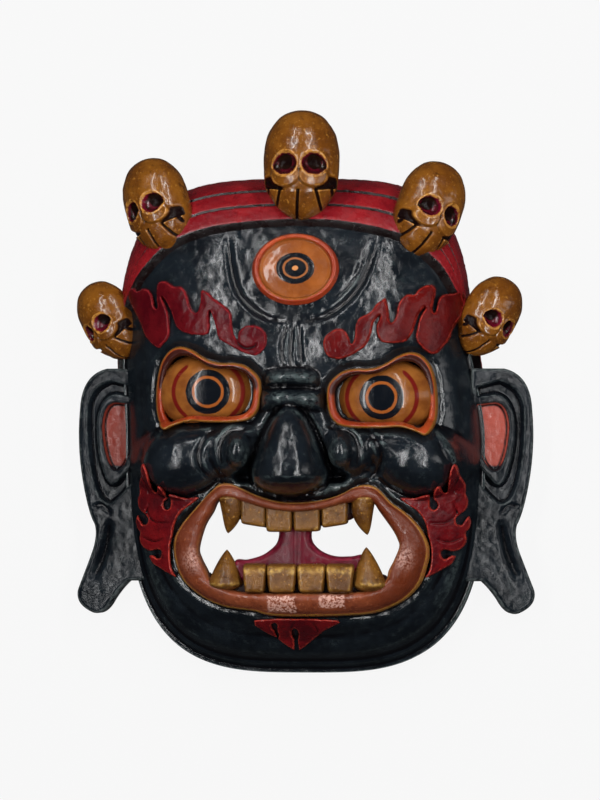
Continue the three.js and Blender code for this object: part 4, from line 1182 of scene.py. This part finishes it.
def make_skull(name, at, size, roll, yaw, lean):
    profile = smooth_run(SKULL_PROFILE, False, 7)
    level, width = profile[:, 0], np.clip(profile[:, 1], 0, None)
    around = 132
    turn = np.linspace(0, 2 * np.pi, around + 1)[:-1]
    turn = turn - 0.45 * np.sin(turn)  # closer columns in front
    a, w = np.meshgrid(turn, width, indexing="ij")
    y = np.broadcast_to(level, a.shape)
    x, z = w * np.sin(a), w * np.cos(a) * (25 / 28)
    front = smooth_step(-0.05, 0.35, np.cos(a)) * (w > 2)
    lift, socket, shadow = skull_relief(x, y)
    seed = sum(map(ord, name))
    rough = 0.5 * facets(x, y, z, 8, seed) + 0.15 * noise(x, y, z, 3, seed)
    x = x + rough * np.sin(a)
    z = z + lift * front + rough * np.cos(a)
    points = np.stack([x, y, z], -1).reshape(-1, 3) * size

    points = turned(turned(turned(points, 0, lean), 1, yaw), 2, roll) + at
    faces = grid_faces(around, len(level), wrap_rows=True)
    paint_at = {"socket": (socket * front).ravel(), "shadow": (shadow * front).ravel()}
    make_piece(f"skull_{name}", points, faces, ochre, paint_at)


# Ears

EAR_OUTLINE = [(122, 17.6), (147, 17.5), (167, 13, 168, -14), (171, -46, 163, -80),
    (160, -93, 156.5, -99), (154, -108, 159, -121), (164, -134, 169.5, -148), (172, -159, 158, -165),
    (149, -168, 142, -155), (136, -146, 130, -141), (116, -141), (122, 17.6)]
EAR_HOLLOW = [(126, 4), (143, 8.5), (159, 5, 161.5, -12), (163, -44, 156, -70), (150, -88, 141, -82),
    (134, -76, 126, -66), (126, 4)]
EAR_INNER = [(126, -4), (140, -1.5), (153, -3, 155, -24), (155, -48, 148, -64), (143, -74, 136, -64),
    (126, -54), (126, -4)]
EAR_CORE = [(126, -9), (140, -7.5), (150, -8, 151, -26), (150, -46, 144, -57), (139, -63, 133, -54),
    (126, -40), (126, -9)]
EAR_SLIT = [(145, -98), (149, -118), (156.5, -138)]
EAR_SMILE = [(144, -91), (150, -84.5), (157, -86)]
EAR_THICK, EAR_LOW, EAR_RECESS = 15.0, 14.0, 7.0
EAR_SWING = 0.16  # radians, back from the face


def make_ear(side):
    hollow, inner_run, core = (stroke_run(side, *o, steps=8) for o in (EAR_HOLLOW, EAR_INNER, EAR_CORE))
    slit, smile = line_run(EAR_SLIT, side), line_run(EAR_SMILE, side)

    def top(x, y, inner):
        high = EAR_THICK - 2.5 + round_edge(inner, 3.5, 2.5)
        sink = smooth_step(-0.6, 2.4, depth_in(x, y, hollow))
        rise = smooth_step(-2.0, 0.8, depth_in(x, y, inner_run))
        pit = smooth_step(-0.5, 2.0, depth_in(x, y, core))
        high = high - EAR_RECESS * sink + (EAR_RECESS - 1.0) * rise * sink - (EAR_RECESS - 2.0) * pit
        high = high - groove(x, y, slit, 6.0, 6.5) - groove(x, y, smile, 4.0, 2.5)
        return high + 0.4 * facets(x, y, 0, 8, 101) + 0.15 * noise(x, y, 0, 3, 102)

    def bottom(x, y, inner):
        low = 0.5 - 0.5 * round_edge(inner, 3.0, 1.0) + 0.3 * (1 + facets(x, y, 0, 10, 104))
        return low + 2.5 * (1 - np.clip(inner / 3.0, 0, 1)) ** 2

    def swing(points):
        p = points.copy()
        x = points[:, 0] - side * HALF_WIDTH
        p[:, 0] = x * math.cos(EAR_SWING) + side * points[:, 2] * math.sin(EAR_SWING) + side * HALF_WIDTH
        p[:, 2] = -side * x * math.sin(EAR_SWING) + points[:, 2] * math.cos(EAR_SWING) + EAR_LOW
        return p

    def patch(x, y, inner):
        return smooth_step(-0.5, 1.2, depth_in(x, y, core)) * smooth_step(-60, -50, y)

    outline = stroke_run(side, *EAR_OUTLINE, steps=10)
    relief_piece(f"ear_{name_of(side)}", outline, ear_paint[side], top, bottom, 1.0,
                 colours={"patch": patch}, shift=swing)


def make_mask():
    make_face()
    for side in SIDES:
        make_lids(side)
        make_eye(side)
        make_brow(side)
        make_cheek_flame(side)
    make_third_eye()
    make_chin_flame()
    make_band()
    make_lips()
    make_teeth()
    for name, shape in FANGS.items():
        make_fang(name, *shape)
    make_tongue()
    for name, shape in GUMS.items():
        make_gum(name, *shape)
    for name, (place, *turns) in SKULLS.items():
        make_skull(name, np.array(place, float), *turns)
    for side in SIDES:
        make_ear(side)


# Camera, floor and light

def add_stage():
    bpy.ops.mesh.primitive_plane_add(size=6.0, location=(0, 0, -0.0005))
    floor = bpy.context.object
    floor.name = "floor"
    pale = bpy.data.materials.new("pale_floor")
    pale.use_nodes = True
    shader = pale.node_tree.nodes["Principled BSDF"]
    shader.inputs["Base Color"].default_value = (0.02, 0.02, 0.02, 1)
    shader.inputs["Roughness"].default_value = 1.0
    shader.inputs["Specular IOR Level"].default_value = 0.0
    shader.inputs["Emission Color"].default_value = (1, 1, 1, 1)
    shader.inputs["Emission Strength"].default_value = 0.905
    floor.data.materials.append(pale)
    floor.visible_glossy = False
    floor.visible_diffuse = False


CAMERA_TARGET = np.array((0.2, -5.8, 75.0)) * MM
CAMERA_YAW = math.asin(0.08)
CAMERA_AWAY = 5.0
VIEW_LONG_SIDE = 0.5914  # metres seen along the picture's long side, at the target


def add_camera():
    data = bpy.data.cameras.new("camera")
    data.sensor_fit = "AUTO"
    data.sensor_width = 36.0
    data.lens = data.sensor_width * CAMERA_AWAY / VIEW_LONG_SIDE
    camera = bpy.data.objects.new("camera", data)
    out = np.array((math.sin(CAMERA_YAW), 0.0, math.cos(CAMERA_YAW)))
    camera.location = CAMERA_TARGET + out * CAMERA_AWAY
    camera.rotation_euler = (0.0, CAMERA_YAW, 0.0)
    bpy.context.scene.collection.objects.link(camera)
    bpy.context.scene.camera = camera


def add_light(name, at, target, size, watts):
    data = bpy.data.lights.new(name, "AREA")
    data.shape = "RECTANGLE"
    data.size, data.size_y = size
    data.energy = watts
    light = bpy.data.objects.new(name, data)
    light.location = at
    away = np.array(at) - np.array(target)
    light.rotation_euler = Vector(away).to_track_quat("Z", "Y").to_euler()
    bpy.context.scene.collection.objects.link(light)
    return light


# Two long strips make the upright streaks in the lacquer, and the others only fill
STRIP_Y, STRIP_HIGH, STRIP_SIZE, STRIP_WATTS = 0.85, 1.15, (2.8, 0.06), 26


def add_lights():
    for name, x in (("strip_left", -0.5), ("strip_right", 0.6)):
        add_light(name, (x, STRIP_Y, STRIP_HIGH), (0, STRIP_Y, 0.06), STRIP_SIZE, STRIP_WATTS)
    front_soft = add_light("front_soft", (0.15, 0.5, 2.2), (0, 0, 0.05), (0.5, 0.5), 3)
    front_soft.visible_glossy = False
    add_light("side_soft", (1.5, 0.2, 0.6), (0, 0, 0.05), (0.4, 1.0), 4)
    world = bpy.data.worlds.new("studio")
    bpy.context.scene.world = world
    world.use_nodes = True
    background = world.node_tree.nodes["Background"]
    background.inputs["Color"].default_value = (0.9, 0.93, 1.0, 1)
    background.inputs["Strength"].default_value = 0.04


make_mask()
add_stage()
add_camera()
add_lights()
bpy.context.scene.view_settings.view_transform = "Standard"
